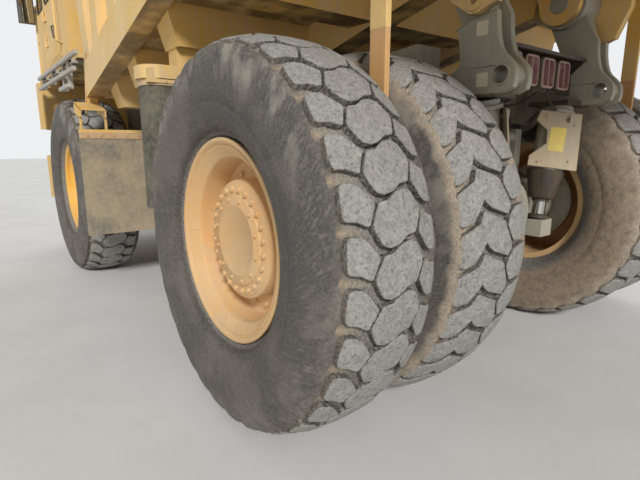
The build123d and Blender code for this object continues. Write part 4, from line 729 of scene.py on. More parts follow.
def tread_blocks(outline, phase, middle_y, axle_u, middle=None):
    """Every pitch has one block: rings of its outline, shrunk towards its middle, each at the
    crown's radius plus the ring's rise, and a point in the middle."""
    crown_a, crown_r = np.array(CROWN, float).T
    middle = outline.mean(0) if middle is None else np.array(middle, float)
    scale = np.array([s for s, _ in BLOCK_RINGS])[:, None, None]
    rise = np.array([h for _, h in BLOCK_RINGS], float)[:, None]
    rings = middle + (outline - middle) * scale
    across = np.concatenate([rings[..., 0].ravel(), middle[:1]])
    turns = np.concatenate([rings[..., 1].ravel(), middle[1:]])
    rises = np.concatenate([np.broadcast_to(rise, rings.shape[:2]).ravel(), [0.0]])
    radius = np.interp(np.abs(across), crown_a, crown_r) + rises
    count = len(across)
    ring, rows = len(outline), len(BLOCK_RINGS)
    pitch = (np.arange(PITCHES)[:, None] + phase + turns[None, :]) * PITCH
    points = around_axle(np.tile(across, (PITCHES, 1)), pitch, np.tile(radius, (PITCHES, 1)),
                         middle_y, axle_u)
    quads = grid_quads(rows, ring, closed_columns=True)
    last = (rows - 1) * ring + np.arange(ring)
    fan = np.stack([last, np.roll(last, -1), np.full(ring, count - 1)], 1)
    shift = (np.arange(PITCHES) * (count + 1))[:, None, None]
    first = np.arange(ring)
    floor = np.stack([np.roll(first, -1), first, np.full(ring, count)], 1)
    low = around_axle(np.full(PITCHES, middle[0]), pitch[:, -1],
                      np.full(PITCHES, radius[-1] + BLOCK_RINGS[0][1]), middle_y, axle_u)
    points = np.concatenate([points.reshape(PITCHES, count, 3), low[:, None]], 1)
    # Tops read 1 for the worn rubber; the flanks read 0, where the rubber paints shade.
    top = np.tile(np.append((rises > BLOCK_FLANK).astype(float), 0.0), PITCHES)
    faces = [(quads[None] + shift).reshape(-1, 4),
             (np.concatenate([fan, floor])[None] + shift).reshape(-1, 3)]
    across = np.abs(np.tile(np.append(across, middle[0]), PITCHES))
    clay = 0.35 * np.clip((across - 225) / 40, 0, 1)
    return outward(points.reshape(-1, 3), faces, tyre_values(top, np.zeros(len(top)), clay, axle_u))


def tyre_values(top, side, clay, axle_u):
    """What the rubber reads: the tops of blocks, the walls, packed clay and the axle's place."""
    return {"top": top, "side": side, "clay": clay,
            "axle": np.full(len(top), REAR_X + axle_u / 1000)}


def carcass(middle_y, axle_u, wall_from, groove, strip, caked):
    """The carcass profile turned about the axle. Its wall starts at wall_from mm across. The ends
    of the grooves, one a pitch from the share groove on, dip into the shoulder and hold
    clay. In between there is as much clay as strip says, and caked covers the inner wall."""
    half = np.array(CARCASS, float)
    profile = np.concatenate([half[::-1] * (-1, 1), half[1:]])
    turns = np.arange(TURN_STEPS) * 2 * math.pi / TURN_STEPS
    across, turn = np.meshgrid(profile[:, 0], turns, indexing="ij")
    radius = np.tile(profile[:, 1:], (1, TURN_STEPS))
    far, wave = np.abs(across), np.cos((turn / PITCH - groove) * 2 * math.pi)
    high = radius > SHOULDER_LOW
    shoulder = (far > SHOULDER_FROM) & (far < SHOULDER_TO) & high
    dip = GROOVE_DIP * shoulder * np.clip(wave * 2 - 0.6, 0, 1)
    points = around_axle(across, turn, radius - dip, middle_y, axle_u)
    quads = grid_quads(len(profile), TURN_STEPS, closed_rows=True, closed_columns=True)
    clay = (np.clip((far - 180) / 60, 0, 1) * (far < 266 + 45 * strip) * high
            * np.clip(wave * 2 - 0.8, strip, 1))
    clay = np.where(across < -300, caked, clay)
    side = (far > wall_from).astype(float).ravel()
    return outward(points, [quads], tyre_values(np.full(side.shape, GROOVE_TOP), side,
                                                clay.ravel(), axle_u))


def tyre(middle_y, axle_u):
    """Carcass and three rows of blocks."""
    centre = cut_corners(CENTRE_HALF + [(-a, -p) for a, p in CENTRE_HALF])
    outer = cut_corners(SHOULDER)
    rows = [tread_blocks(outline, TREAD_PHASE, middle_y, axle_u)
            for outline in (centre, outer, -outer)]
    return [carcass(middle_y, axle_u, 240, TREAD_PHASE + GROOVE_END, 0, 0)] + rows


def chevron_tyre(middle_y, axle_u):
    """Carcass, a row of chevrons and a row of blocks."""
    chevron, edge = cut_corners(CHEVRON), cut_corners(EDGE_ROW)
    return [carcass(middle_y, axle_u, 300, CHEVRON_PHASE + CHEVRON_GROOVE_END, 0.8, 0.8),
            tread_blocks(chevron, CHEVRON_PHASE, middle_y, axle_u, CHEVRON_MIDDLE),
            tread_blocks(edge, CHEVRON_PHASE, middle_y, axle_u)]


def make_tyres():
    """Front tyres and the twin rear tyres, which stand for the plain ones."""
    for side_name, side in SIDES:
        name = f"tyre_front_{side_name}"
        piece("tread_" + name, on_side(tyre(FRONT_TRACK / 2, WHEELBASE), side), TYRE,
              body=f"wheel_front_{side_name}", replaces=[name])
        name = f"tyres_rear_{side_name}"
        for (place, middle_y), form in zip(REAR_TYRES_Y, (tyre, chevron_tyre)):
            piece(f"tread_{name}_{place}", on_side(form(middle_y, 0), side), TYRE,
                  body=f"wheel_rear_{side_name}", replaces=[name])


# Wheels. Profiles run from the hub's middle to the lip: mm in from the rim's outer edge, radius.

REAR_FACE = [(74, 0), (74, 190), (71, 196), (71, 200), (75, 206), (75, 247), (78, 253), (86, 256),
             (88, 262), (88, 306), (92, 314), (97, 316), (98, 321), (103, 330), (110, 334),
             (216, 334), (224, 338), (228, 346), (230, 356), (230, 430), (226, 440), (218, 447),
             (100, 455), (76, 457), (66, 460), (60, 466), (58, 469), (16, 510), (14, 514),
             (20, 518), (21, 523), (14, 528), (4, 535), (0, 545), (0, 552), (4, 558), (10, 560),
             (18, 553), (22, 535)]
FRONT_FACE = [(62, 0), (62, 120), (68, 126), (72, 150), (80, 156), (85, 210), (90, 262), (92, 296),
              (98, 300), (104, 302), (110, 308), (116, 334), (120, 345), (120, 425), (116, 436),
              (108, 444), (60, 470), (54, 476), (50, 486), (24, 489), (16, 487), (9, 490),
              (3, 496), (1, 503), (2, 511), (7, 516), (15, 519), (16, 525), (10, 530), (3, 537),
              (0, 545), (0, 552), (4, 558), (10, 560), (18, 553), (22, 535)]
# Bolts: circle's radius, mm in from the rim's edge, how many, half across the flats.
REAR_BOLTS = ((285, 88, 24, 15), (228, 75, 12, 10), (392, 230, 20, 17))
FRONT_BOLTS = ((392, 120, 20, 17), (180, 83, 12, 12))


def wheel(face, inner_y, outer_y, web_y, axle_u):
    """The face's profile and the rim's back, turned about the axle: y is mirrored for the right."""
    back = [(inner_y + 22, 535), (inner_y + 8, 558), (inner_y, 552), (inner_y, 490), (web_y, 486),
            (web_y, 0)]
    profile = [(outer_y - d, r) for d, r in face] + back
    return turned(profile, (axle_u, 0, AXLE_Z), LEFT, 96)


def make_wheels():
    """Rims, discs and hubs with their bolts, which stand for the plain wheels."""
    reach = DUAL_SPACING / 2 + RIM_HALF_W
    rear_y = (REAR_TRACK / 2 - reach, REAR_TRACK / 2 + reach)
    front_y = (FRONT_TRACK / 2 - RIM_HALF_W, FRONT_TRACK / 2 + RIM_HALF_W)
    # The last number is how far the web's back lies in from the outer lip.
    rows = (("rear", REAR_FACE, REAR_BOLTS, 0, rear_y, RIM, 635),
            ("front", FRONT_FACE, FRONT_BOLTS, WHEELBASE, front_y, RIM_FRONT, 200))
    for end, face, rings, u, (inner_y, outer_y), finish, web_in in rows:
        heads = []
        for radius, inset, count, half_across in rings:
            middle = (u, outer_y - inset, AXLE_Z)
            heads += bolts(circle_of(middle, LEFT, radius, count, 0.5), LEFT, half_across)
        valve = [rod((u + 470, outer_y - 62, AXLE_Z), (u + 505, outer_y - 22, AXLE_Z), 6, 8, 1)]
        disc = wheel(face, inner_y, outer_y, outer_y - web_in, u)
        for side_name, side in SIDES:
            name = f"wheel_{end}_{side_name}"
            piece("pressed_" + name, on_side([disc], side), finish, body=name, replaces=[name])
            piece("bolts_" + name, on_side(heads + valve, side), finish, body=name)


# Forms at the rear and under the cab

PIVOT = (-420, 2600)
TOW, TOW_HOLE = (-720, 1970), 50
# Mm left of the middle where the two plates of the left bracket begin and end.
OUTER_PLATE, INNER_PLATE = (695, 740), (555, 600)
# The outer plate's edge from its foot round by the tail to the frame, (u, z).
BRACKET_FOOT = [(-160, 1750), (-300, 1870), (-742, 1870), (-802, 1895)]
BRACKET_TAIL = [(-812, 1930), (-812, 1985), (-800, 2020), (-760, 2062), (-726, 2095),
                (-710, 2122), (-694, 2170), (-682, 2230)]
SADDLE = [(-674, 2324), (-600, 2307), (-539, 2294), (-513, 2295), (-409, 2255)]
SCALLOP = [(-429, 2165), (-439, 2085), (-432, 2051), (-414, 2026), (-381, 2008), (-335, 2004),
           (-160, 2060)]
HORN = [(-674, 2324), (-555, 2540), (-480, 2660), (-360, 2660), (-285, 2540), (-409, 2255)]
NECK = [(-590, 2200), (-600, 2420), (-550, 2560), (-290, 2560), (-385, 2340), (-450, 2200)]
# The lock plate behind the body's lug, (u, z).
LOCK = [(-395, 2407), (-534, 2310), (-592, 2310), (-704, 2352), (-790, 2560), (-790, 3020),
        (-395, 3020)]


def at(place, y):
    """The place (u, z) at y."""
    return place[0], y, place[1]


def make_brackets():
    """Twin plates with the tow holes' bosses, the pivot's bosses and the web between, the struts'
    seats, welds, labels, and the hoses that cross behind the axle."""
    hole = [circle(TOW, TOW_HOLE, 48)]
    edge = BRACKET_FOOT + BRACKET_TAIL
    outer = sheet(edge + SADDLE + SCALLOP, *OUTER_PLATE, holes=hole, bevel=4)
    inner = sheet(edge + HORN + SCALLOP, *INNER_PLATE, holes=hole, bevel=4)
    between = INNER_PLATE[1], OUTER_PLATE[0]
    web = sheet(rectangle((-560, 1872), (-160, 2010)), *between)
    neck = sheet(NECK, *between)
    bosses = [ring(at(TOW, 737), LEFT, TOW_HOLE, 62, 8, 56),
              ring(at(TOW, 558), INWARDS, TOW_HOLE, 62, 8, 56)]
    tow_tube = [ring(at(TOW, 598), LEFT, TOW_HOLE, 74, 99, 48)]
    head = [turned([(0, 0), (0, 166), (6, 170), (239, 170), (245, 166), (245, 0)],
                   at(PIVOT, 500), LEFT, 56)]
    pin = [turned([(0, 0), (0, 66), (4, 70), (366, 70), (370, 66), (370, 0)], at(PIVOT, 435), LEFT,
                  48)]
    seat = [sheet(rectangle((-600, 355), (-300, 738)), 1868, 1902, "z")]
    piece("bracket_plates", both([outer, inner, web, neck] + bosses + tow_tube + head + pin), GREY,
          replaces=["rear_brackets"])
    # The seats get the black paint as painted shade, instead of the brackets' grey.
    piece("strut_seats_painted_shade", both(seat), DARK)
    seams = [tube([at(place, 742) for place in SADDLE], 5, 6),
             tube([at(place, 602) for place in NECK[2:4]], 6, 6)]
    piece("bracket_welds", both(seams), GREY)
    labels = [plate(rounded(width, height, 5), at(place, OUTER_PLATE[1]), LEFT, 1.4, 0.4, up=UP)
              for width, height, place in ((74, 80, (-585, 2238)), (76, 78, (-604, 1952)))]
    piece("labels_bracket_left", labels, LABEL)
    hoses = []
    for number, y in enumerate((620, 640, 662, 680)):
        start, end = (-330, y, 1860), (-180, 300 + 40 * number, 1740)
        hoses.append(tube(hanging(start, end, 120 + 20 * number), 13))
    crossing = [tube(hanging((-480, y, 2010), (-70, y + 90, 1900), 70), 9)
                for y in (-250, -60, 140)]
    piece("rear_hoses", both(hoses) + crossing, HOSE)


# The left rear strut's place along the truck, and its ends: y, z. It leans by its slope.
STRUT_U, STRUT_FOOT, STRUT_TOP = -450, (350, 1010), (505, 1870)
STRUT_SLOPE = (STRUT_TOP[0] - STRUT_FOOT[0]) / (STRUT_TOP[1] - STRUT_FOOT[1])
STRUT_AXIS = (0, STRUT_SLOPE, 1)
# The guard: its foot's height, its height, mm off the strut's axis, thickness. Its outline: mm to
# the side, share of its height.
GUARD_LOW, GUARD_HEIGHT, GUARD_OFF, GUARD_THICK = 1395, 412, 117, 9
GUARD = [(-176, 0), (-145, 1), (145, 1), (166, 0.83), (77, 0.67), (65, 0.42), (176, 0.16),
         (176, 0)]


def strut_place(z):
    """A place on the left rear strut's axis."""
    return STRUT_U, STRUT_FOOT[0] + STRUT_SLOPE * (z - STRUT_FOOT[1]), z


def on_strut(profile, z, steps):
    """A profile turned about the strut's axis from the height z."""
    return turned(profile, strut_place(z), STRUT_AXIS, steps)


def make_rear_struts():
    """Rods, cylinders with their collars and bolts, and the tapered cans with their feet."""
    shaft = on_strut([(0, 0), (0, 50), (200, 50), (202, 0)], 1011, 40)
    foot = [on_strut([(0, 0), (0, 78), (22, 78), (34, 60), (34, 0)], 1012, 40)]
    piece("strut_rods", both([shaft]), CHROME, replaces=["rear_strut_rods"])
    can = on_strut([(0, 52), (0, 62), (22, 62), (26, 92), (30, 95), (232, 134), (238, 134),
                    (242, 118), (242, 52)], 1143, 56)
    tube_part = on_strut([(0, 0), (0, 112), (3, 115), (488, 115), (491, 112), (491, 0)], 1381, 56)
    collar = [ring(strut_place(1800), STRUT_AXIS, 112, 131, 30, 48),
              ring(strut_place(1392), STRUT_AXIS, 112, 124, 16, 48)]
    heads = bolts(circle_of(strut_place(1797), STRUT_AXIS, 121, 10, 0.5), (0, -STRUT_SLOPE, -1), 8)
    piece("strut_cylinders", both([tube_part] + collar + heads), GREY, replaces=["rear_struts"])
    piece("strut_cans", both([can] + foot), DARK)


def make_strut_guards():
    """The shield behind each strut, turned inwards by 45 degrees, with its lip, studs and label."""
    outline = np.array([(width, share * GUARD_HEIGHT) for width, share in GUARD])
    towards = np.array((-1, -1, STRUT_SLOPE))
    towards /= np.linalg.norm(towards)
    up = np.array(STRUT_AXIS) / np.linalg.norm(STRUT_AXIS)
    up = up - towards * (up @ towards)
    up /= np.linalg.norm(up)
    side = np.cross(up, towards)
    start = np.array(strut_place(GUARD_LOW)) + towards * GUARD_OFF
    corners = start + outline[:, :1] * side + outline[:, 1:] * up
    count = len(outline)
    caps = np.array(tessellate_polygon([[Vector((*p, 0)) for p in outline]]))
    shield = capped(spots(np.concatenate([corners, corners + GUARD_THICK * towards])),
                    grid_quads(2, count, closed_columns=True), caps, count)
    lip = tube(corners + 4 * towards, 6, 6, closed=True)
    studs = bolts([start + side * a + up * b + GUARD_THICK * towards for a, b in
                   ((-110, 60), (-110, 330), (110, 30), (100, 370))], towards, 9)
    piece("strut_guards", both([shield, lip] + studs), GUARD_PAINT)
    label = plate(rounded(112, 176, 6), start + up * 212 + 9.2 * towards, towards,
                  1.4, 0.4, up=up)
    piece("label_strut_right", [mirrored(label)], LABEL_YELLOW)


def make_strut_valves():
    """Charging valves and the hoses to them."""
    valve = [rod((-560, 440, 1760), (-606, 425, 1760), 14, 8),
             rod((-600, 425, 1758), (-600, 425, 1800), 8, 8)]
    hose = tube(hanging((-520, 470, 1850), (-480, 250, 1960), 60), 9)
    piece("strut_valves", both(valve), ZINC)
    piece("strut_hoses", both([hose]), HOSE)


LAMPS_Y = (-330, -110, 110, 330)
LAMP_LOW, LAMP_HIGH = 1970, 2170
# The lamps' bar: its half width, and u of its back, which the lamps stand on.
BAR_HALF, BAR_U = 555, -507


def make_tail_lamps():
    """The bar with its folded roof, and the lamps with frames, two ribbed lenses each, and bolts."""
    front_u, lip_u, roof_z = -495, -610, LAMP_HIGH + 20
    back = [sheet(rectangle((-BAR_HALF, LAMP_LOW - 20), (BAR_HALF, roof_z)), BAR_U, front_u, "u",
                  bevel=1)]
    roof = [sheet(rectangle((lip_u, -BAR_HALF), (front_u, BAR_HALF)), roof_z, 2200, "z"),
            box((-612, -BAR_HALF, 2178), (-604, BAR_HALF, 2200), 1)]
    ends = [sheet([(lip_u, roof_z), (-510, roof_z), (-510, 2100)], y, y + 8) for y in (-554, 546)]
    piece("lamp_shelf", back + roof + ends, DARK, replaces=["lamp_bar"])
    shells, frames, lenses = [], [], []
    middle = (LAMP_LOW + LAMP_HIGH) / 2
    for y in LAMPS_Y:
        shells.append(plate(rounded(172, 198, 18), (BAR_U, y, middle), BACK, 44, 8, up=UP))
        edge = [(-556, *place) for place in rectangle((y - 76, LAMP_LOW + 8),
                                                      (y + 76, LAMP_HIGH - 8))]
        frames.append(frame_of_tube(edge, 9, 26))
        frames.append(box((-562, y - 5, LAMP_LOW + 10), (-548, y + 5, LAMP_HIGH - 10), 2))
        for side in (-40, 40):
            lenses.append(plate(rounded(68, 172, 14), (-550, y + side, middle), BACK, 14, 6,
                                up=UP))
    heads = bolts([(BAR_U, y, z) for y in (-500, -220, 0, 220, 500) for z in (1962, 2180)], BACK, 8)
    piece("tail_lamp_shells", shells + heads, PLASTIC, replaces=["tail_lamps"])
    piece("tail_lamp_frames", frames, LAMP_FRAME)
    piece("tail_lamp_lenses", lenses, RED_LENS)


def make_lock_plates():
    """The plates with the raised body's lock holes, behind the body's lugs, and the lugs' rings."""
    hole = (-560, 2383)
    lock = sheet(LOCK, 748, 801, holes=[circle(hole, 24, 32)], bevel=3)
    disc = ring(at(hole, 800), LEFT, 24, 61, 8, 48)
    boss = ring(at(PIVOT, 800), LEFT, 74, 168, 7, 56)
    seams = [tube([(-704, 803, 2352), (-790, 803, 2560), (-790, 803, 3000)], 5, 6)]
    piece("lock_plates", both([lock, disc, boss] + seams), YELLOW, body="dump_body")
    cap = turned([(0, 0), (0, 64), (10, 64), (16, 58), (18, 0)], at(PIVOT, 803), LEFT, 40)
    keeper = bolts(circle_of(at(PIVOT, 820), LEFT, 38, 3), LEFT, 10)
    piece("pivot_pin_ends", both([cap] + keeper), ZINC)


def rounded_path(u0, u1, y0, y1, radius, steps=10):
    """Places (u, y) from y0 along the sheet at u0 and round a corner to u1 at y1."""
    t = np.linspace(0, math.pi / 2, steps)
    turn = [(u0 + radius - radius * math.cos(a), y1 - radius + radius * math.sin(a)) for a in t]
    return [(u0, y0), (u0, (y0 + y1) / 2)] + turn + [(u1 - 40, y1), (u1, y1)]


def make_rear_flaps():
    """Rubber sheets ahead of the rear tyres, bent forwards at their edge, under a steel band."""
    rubber_sheet = bent(rounded_path(1225, 1410, 850, 2090, 110), 1100, 2050, -20)
    # The rear flaps' rubber carries painted shade for the body's shadow.
    piece("rubber_rear_flaps", both([rubber_sheet]), PAINTED_SHADE_RUBBER, body="dump_body",
          replaces=["rear_flaps"])
    band = bent(rounded_path(1200, 1410, 850, 2115, 135), 2050, 2145, -45)
    piece("rear_flap_bands", both([band]), YELLOW, body="dump_body")
    strip = bent(rounded_path(1217, 1405, 858, 2098, 118), 2004, 2052, -9)
    heads = bolts([(1217, y, 2028) for y in range(900, 1980, 150)], BACK, 10)
    piece("rear_flap_strips", both([strip] + heads), CLAY, body="dump_body")


def make_ejectors():
    """The bars that keep rocks out from between the twin tyres: a rubbed point on a hanger."""
    low = sheet([(-605, 1690), (-538, 1600), (-495, 1690), (-495, 2134), (-605, 2134)], 1508, 1542,
                bevel=3)
    high = sheet(rectangle((-606, 2130), (-494, 3040)), 1507, 1543, bevel=3)
    foot = box((-625, 1450, 3000), (-475, 1600, 3020), 4)
    piece("rock_ejectors", both([low]), EJECTOR, body="dump_body", replaces=["ejector_bars"])
    piece("ejector_hangers", both([high, foot]), YELLOW, body="dump_body")


# Walkway bars: height, rear end, front end, in mm.
SIDE_BARS = [(2165, 3320, 3840), (2300, 3020, 5300), (2430, 2850, 5300)]


def make_side_bars():
    """The bars beside the deck with their hangers and bolts."""
    bars = [box((u0, 2180, z), (u1, 2220, z + 42), 5) for z, u0, u1 in SIDE_BARS]
    heads = []
    for u in (3430, 3730, 4400, 5150):
        low = min(z for z, u0, u1 in SIDE_BARS if u < u1)
        bars.append(box((u, 2140, low), (u + 70, 2180, 2470), 4))
        bars.append(box((u, 2020, 2430), (u + 70, 2180, 2470), 4))
        heads += bolts([(u + 35, 2220, z + 21) for z, u0, u1 in SIDE_BARS if u0 < u < u1], LEFT, 9)
    piece("walkway_bars", both(bars + heads), PALE, replaces=["side_steps"])


def make_front_flaps():
    """The flaps' folded hangers, angle irons and bolts."""
    u, knee = 2887.5, 3157
    arm = [(u, 1830), (u, 1925), (knee, 2010), (knee, 1900)]
    riser = [(knee, 1900), (knee, 2010), (2980, 2470), (3060, 2470), (knee + 75, 1900)]
    parts = []
    for y in (1970, 2203):
        parts += [sheet(arm, y, y + 10), sheet(rectangle((u, 1730), (u + 75, 1850)), y, y + 10)]
    parts += [sheet(riser, y, y + 10) for y in (1970, 2080)]
    parts.append(sheet([(u, 1915), (u, 1925), (knee, 2010), (knee, 2000)], 1970, 2213))
    parts.append(sheet([(knee, 2000), (knee, 2010), (2980, 2470), (2990, 2470), (knee + 10, 2000)],
                       1970, 2090))
    iron = [sheet([(u, 1700), (u + 60, 1700), (u + 60, 1708), (u + 8, 1708), (u + 8, 1730),
                   (u, 1730)], 1500, 2240)]
    piece("flap_hangers", both(parts + iron), YELLOW, replaces=["flap_brackets"])
    strip = [box((u - 8, 1500, 1640), (u + 1, 2238, 1702), 3)]
    strip += bolts([(u - 8, y, 1672) for y in range(1540, 2230, 125)], BACK, 10)
    piece("front_flap_strips", both(strip), CLAY)


# Chassis, cab and deck

def make_rear_axle():
    """Cover, bolts and plug on the banjo, drum flanges with their bolts, and brake pipes."""
    cover = turned([(0, 0), (0, 262), (14, 262), (20, 255), (24, 190), (46, 150), (52, 60),
                    (54, 0)], (-405, 0, AXLE_Z), BACK, 56)
    rim_bolts = bolts(circle_of((-421, 0, AXLE_Z), BACK, 240, 16), BACK, 9)
    plug = [turned([(0, 0), (0, 26), (22, 24), (24, 0)], (-458, 0, AXLE_Z - 40), BACK, 6)]
    flanges = [ring((0, 1140, AXLE_Z), LEFT, 200, 345, 22, 56)]
    drum_bolts = bolts(circle_of((0, 1138, AXLE_Z), LEFT, 320, 24), INWARDS, 9)
    pipes = [tube([(-150, 160, 1520), (-190, 300, 1420), (-215, 600, 1300), (-215, 1000, 1260),
                   (-240, 1130, 1230)], 9)]
    piece("axle_cover", [cover] + rim_bolts + plug + both(flanges + drum_bolts), GREY)
    piece("axle_pipes", both(pipes), HOSE)


# The left hoist cylinder's two pins, lowered.
HOIST_FOOT, HOIST_EYE = (1420, 370, 1180), (1860, 370, 2130)


def make_hoists():
    """Gland rings on the barrels, stages and rods."""
    base, top = np.array(HOIST_FOOT, float), np.array(HOIST_EYE, float)
    length = np.linalg.norm(top - base)
    along = (top - base) / length
    end = length - 120
    # Each ring: the body it rides on, mm along, inner and outer radius, width.
    rows = (("barrel", end - 40, 86.8, 112, 40), ("barrel", 80, 40, 112, 30),
            ("stage", end, 62.8, 92, 25), ("rod", end + 28, 46, 70, 17))
    for name, mm, inner, outer, width in rows:
        for side_name, side in SIDES:
            part = ring(base + along * mm, along, inner, outer, width)
            piece(f"gland_{name}_{side_name}_{int(mm)}", on_side([part], side), ZINC,
                  body=f"hoist_{name}_{side_name}")


def make_tanks():
    """Straps, filler caps, sight glasses and drain plugs on the side tanks."""
    straps = []
    for u in (1780, 2480):
        straps.append(tube([(u, 745, 1503), (u, 1440, 1503), (u, 1453, 1380), (u, 1453, 970),
                            (u, 1440, 847), (u, 745, 847)], 9, 8))
        straps += [box((u - 40, 745, 1500), (u + 40, 1330, 1506), 2),
                   box((u - 40, 1450, 970), (u + 40, 1456, 1380), 2)]
        straps += bolts([(u, 1400, 1508)], UP, 12)
    cap = turned([(0, 0), (0, 70), (30, 70), (34, 78), (70, 78), (78, 70), (80, 0)],
                 (1680, 1180, 1500), UP, 32)
    grip = box((1610, 1172, 1578), (1750, 1188, 1600), 4)
    neck = [rod((2250, 1400, 1430), (2250, 1462, 1430), 26, 12)]
    drain = [rod((2100, 1100, 862), (2100, 1100, 832), 24, 6)]
    piece("tank_straps", both(straps + [cap, grip] + neck + drain), DARK)
    glass = [rod((2600, 1450, 1250), (2600, 1458, 1250), 40, 24)]
    piece("tank_gauges", both(glass), CLEAR_LENS)


def make_drive():
    """Joint flanges on the shaft, the gearbox's ribs, and covers, pipes, fan and belt wheels on
    the engine."""
    parts = []
    for u, axis in ((700, AHEAD), (2700, BACK)):
        parts.append(turned([(0, 0), (0, 150), (22, 150), (26, 96), (90, 92), (110, 72), (112, 0)],
                            (u, 0, AXLE_Z), axis, 40))
        parts += bolts(circle_of((u + axis[0] * 22, 0, AXLE_Z), axis, 125, 12), axis, 8)
    parts += [box((2780 + 150 * k, -338, 900), (2800 + 150 * k, 338, 1480), 4) for k in range(7)]
    piece("drive_fittings", parts, DARK)
    block = []
    for side in (-1, 1):
        for k in range(6):
            u = 4060 + 270 * k
            block.append(box((u, side * 225 - 105, 2096), (u + 230, side * 225 + 105, 2160), 14))
            block += bolts([(u + 20, side * 225, 2160), (u + 210, side * 225, 2160)], UP, 9)
            block.append(tube([(u + 115, side * 395, 1960), (u + 115, side * 450, 1950),
                               (u + 140, side * 470, 1900)], 42, 12))
        block.append(rod((4050, side * 470, 1890), (5650, side * 470, 1890), 60, 20))
        block += [rod((u, side * 402, 1350), (u, side * 470, 1350), 90, 24) for u in (4300, 4600)]
        block.append(box((4900, side * 430 - 40, 1200), (5400, side * 430 + 40, 1500), 16))
    block.append(rod((5815, 0, 1240), (5840, 0, 1240), 150, 40))
    piece("engine_fittings", block, DARK)
    blades = []
    for k in range(8):
        turn = 2 * math.pi * k / 8
        direction = np.array((0, math.cos(turn), math.sin(turn)))
        tangent = np.array((0.5, -math.sin(turn), math.cos(turn)))
        middle = np.array((5832, 0, 1940)) + direction * 255
        blades.append(plate(rounded(300, 110, 30), middle, np.cross(direction, tangent), 6, 2,
                            up=tangent / np.linalg.norm(tangent)))
    piece("cooling_fan", blades + [rod((5822, 0, 1940), (5845, 0, 1940), 110, 28)], PLASTIC)


def make_front():
    """Radiator louvres, lamp rims and lenses, step treads, tow hooks, bumper ribs and mirrors."""
    slats = [box((5900, -722, z), (5918, 722, z + 8), 2) for z in range(1520, 2405, 34)]
    piece("radiator_louvres", slats, DARK)
    rims, lenses = [], []
    for y in (1000, 1260):
        rims.append(ring((6022, y, 2150), AHEAD, 80, 104, 24))
        lenses.append(dome((6034, y, 2150), AHEAD, 84, 26))
    piece("head_lamp_rims", both(rims), ZINC)
    piece("head_lamp_lenses", both(lenses), CLEAR_LENS)
    treads = []
    for z in (1750, 2050, 2350):
        treads += [box((u, 1545, z - 2), (u + 8, 1905, z + 8), 2) for u in range(5995, 6125, 26)]
    treads += [box((u, 1535, 448), (u + 8, 1915, 458), 2) for u in range(6020, 6150, 26)]
    piece("ladder_treads", both(treads), PALE)
    hooks = [tube([(6150, 900, 800), (6150, 900, 740), (6185, 900, 700), (6226, 900, 715),
                   (6234, 900, 770)], 26, 12)]
    piece("tow_hooks", both(hooks), DARK)
    lip = [box((5985, -1990, 1418), (6140, 1990, 1428), 3)]
    ribs = [box((6000 + 30 * k, -1950, 1426), (6008 + 30 * k, 1950, 1432), 2) for k in range(5)]
    piece("bumper_walk", lip + ribs, PALE)
    glass = [plate(rounded(172, 420, 22), (5790, 2197, 3475), BACK, 5, 2, up=UP)]
    shell = [plate(rounded(199, 449, 30), (5791, 2197, 3475), AHEAD, 46, 14, up=UP),
             rod((5800, 2120, 3420), (5800, 2000, 3420), 12)]
    piece("mirror_glass", both(glass), MIRROR)
    piece("mirror_shells", both(shell), PLASTIC)


# The deck's upper face, z.
DECK_TOP = 2520


def make_deck_gear():
    """Post feet, tread pattern, caps and bands of the air cleaners, battery lid, hood vents."""
    posts = [(3500, -2060), (4700, -2060), (5940, -2060), (5940, -1440), (5940, -760),
             (5940, 760), (5940, 1440), (5940, 2060), (5600, 2060)]
    feet = [turned([(0, 0), (0, 42), (8, 40), (10, 24), (34, 21), (34, 0)], (u, y, DECK_TOP), UP,
                   20) for u, y in posts]
    piece("handrail_feet", feet, YELLOW)
    lozenges = []
    for row, u in enumerate(range(3340, 5950, 70)):
        for column, y in enumerate(range(-2060, -660, 70)):
            lozenges.append(((u, y), (26, 7) if (row + column) % 2 else (7, 26)))
    middle, half = np.moveaxis(np.array(lozenges, float), 1, 0)
    corners = np.array([(1, 0), (0, 1), (-1, 0), (0, -1)], float)
    low = middle[:, None] + corners * half[:, None]
    high = middle[:, None] + corners * half[:, None] * 0.7
    flat = np.concatenate([low, high], 1)
    z = np.broadcast_to(np.repeat((DECK_TOP - 0.5, DECK_TOP + 2.5), 4), flat.shape[:2])
    points = spots(np.concatenate([flat, z[..., None]], -1).reshape(-1, 3))
    quads = np.array([(0, 1, 5, 4), (1, 2, 6, 5), (2, 3, 7, 6), (3, 0, 4, 7), (4, 5, 6, 7),
                      (3, 2, 1, 0)])
    quads = (quads[None] + 8 * np.arange(len(lozenges))[:, None, None]).reshape(-1, 4)
    piece("deck_tread", [outward(points, [quads])], PALE)
    caps, bands = [], []
    for u in (4100, 4650):
        middle = (u, -1500, 3205)
        caps.append(turned([(0, 0), (0, 262), (8, 268), (34, 268), (40, 258), (96, 150), (110, 70),
                            (114, 0)], middle, UP, 48))
        bands += [ring((u, -1500, z), UP, 228, 236, 40, 56) for z in (2640, 2980)]
        bands += bolts([(u, -1738, z + 20) for z in (2640, 2980)], INWARDS, 9)
    piece("air_cleaner_caps", caps, PLASTIC)
    piece("air_cleaner_bands", bands, ZINC)
    lid = [box((5138, -1962, 2930), (5762, -1138, 2962), 8)]
    lid += [box((5138, y, 2840), (5150, y + 50, 2925), 3) for y in (-1800, -1350)]
    lid += [tube([(u, -1600, 2960), (u, -1600, 2992), (u, -1500, 2992), (u, -1500, 2960)], 7)
            for u in (5300, 5600)]
    piece("battery_lid", lid, YELLOW)
    vents = []
    for y in (-440, 140):
        for u in range(4320, 5700, 60):
            hood_z = 2700 + (5860 - u) * 0.036
            vents.append(box((u, y, hood_z + 58), (u + 26, y + 380, hood_z + 74), 4))
    piece("hood_vents", vents, DARK)


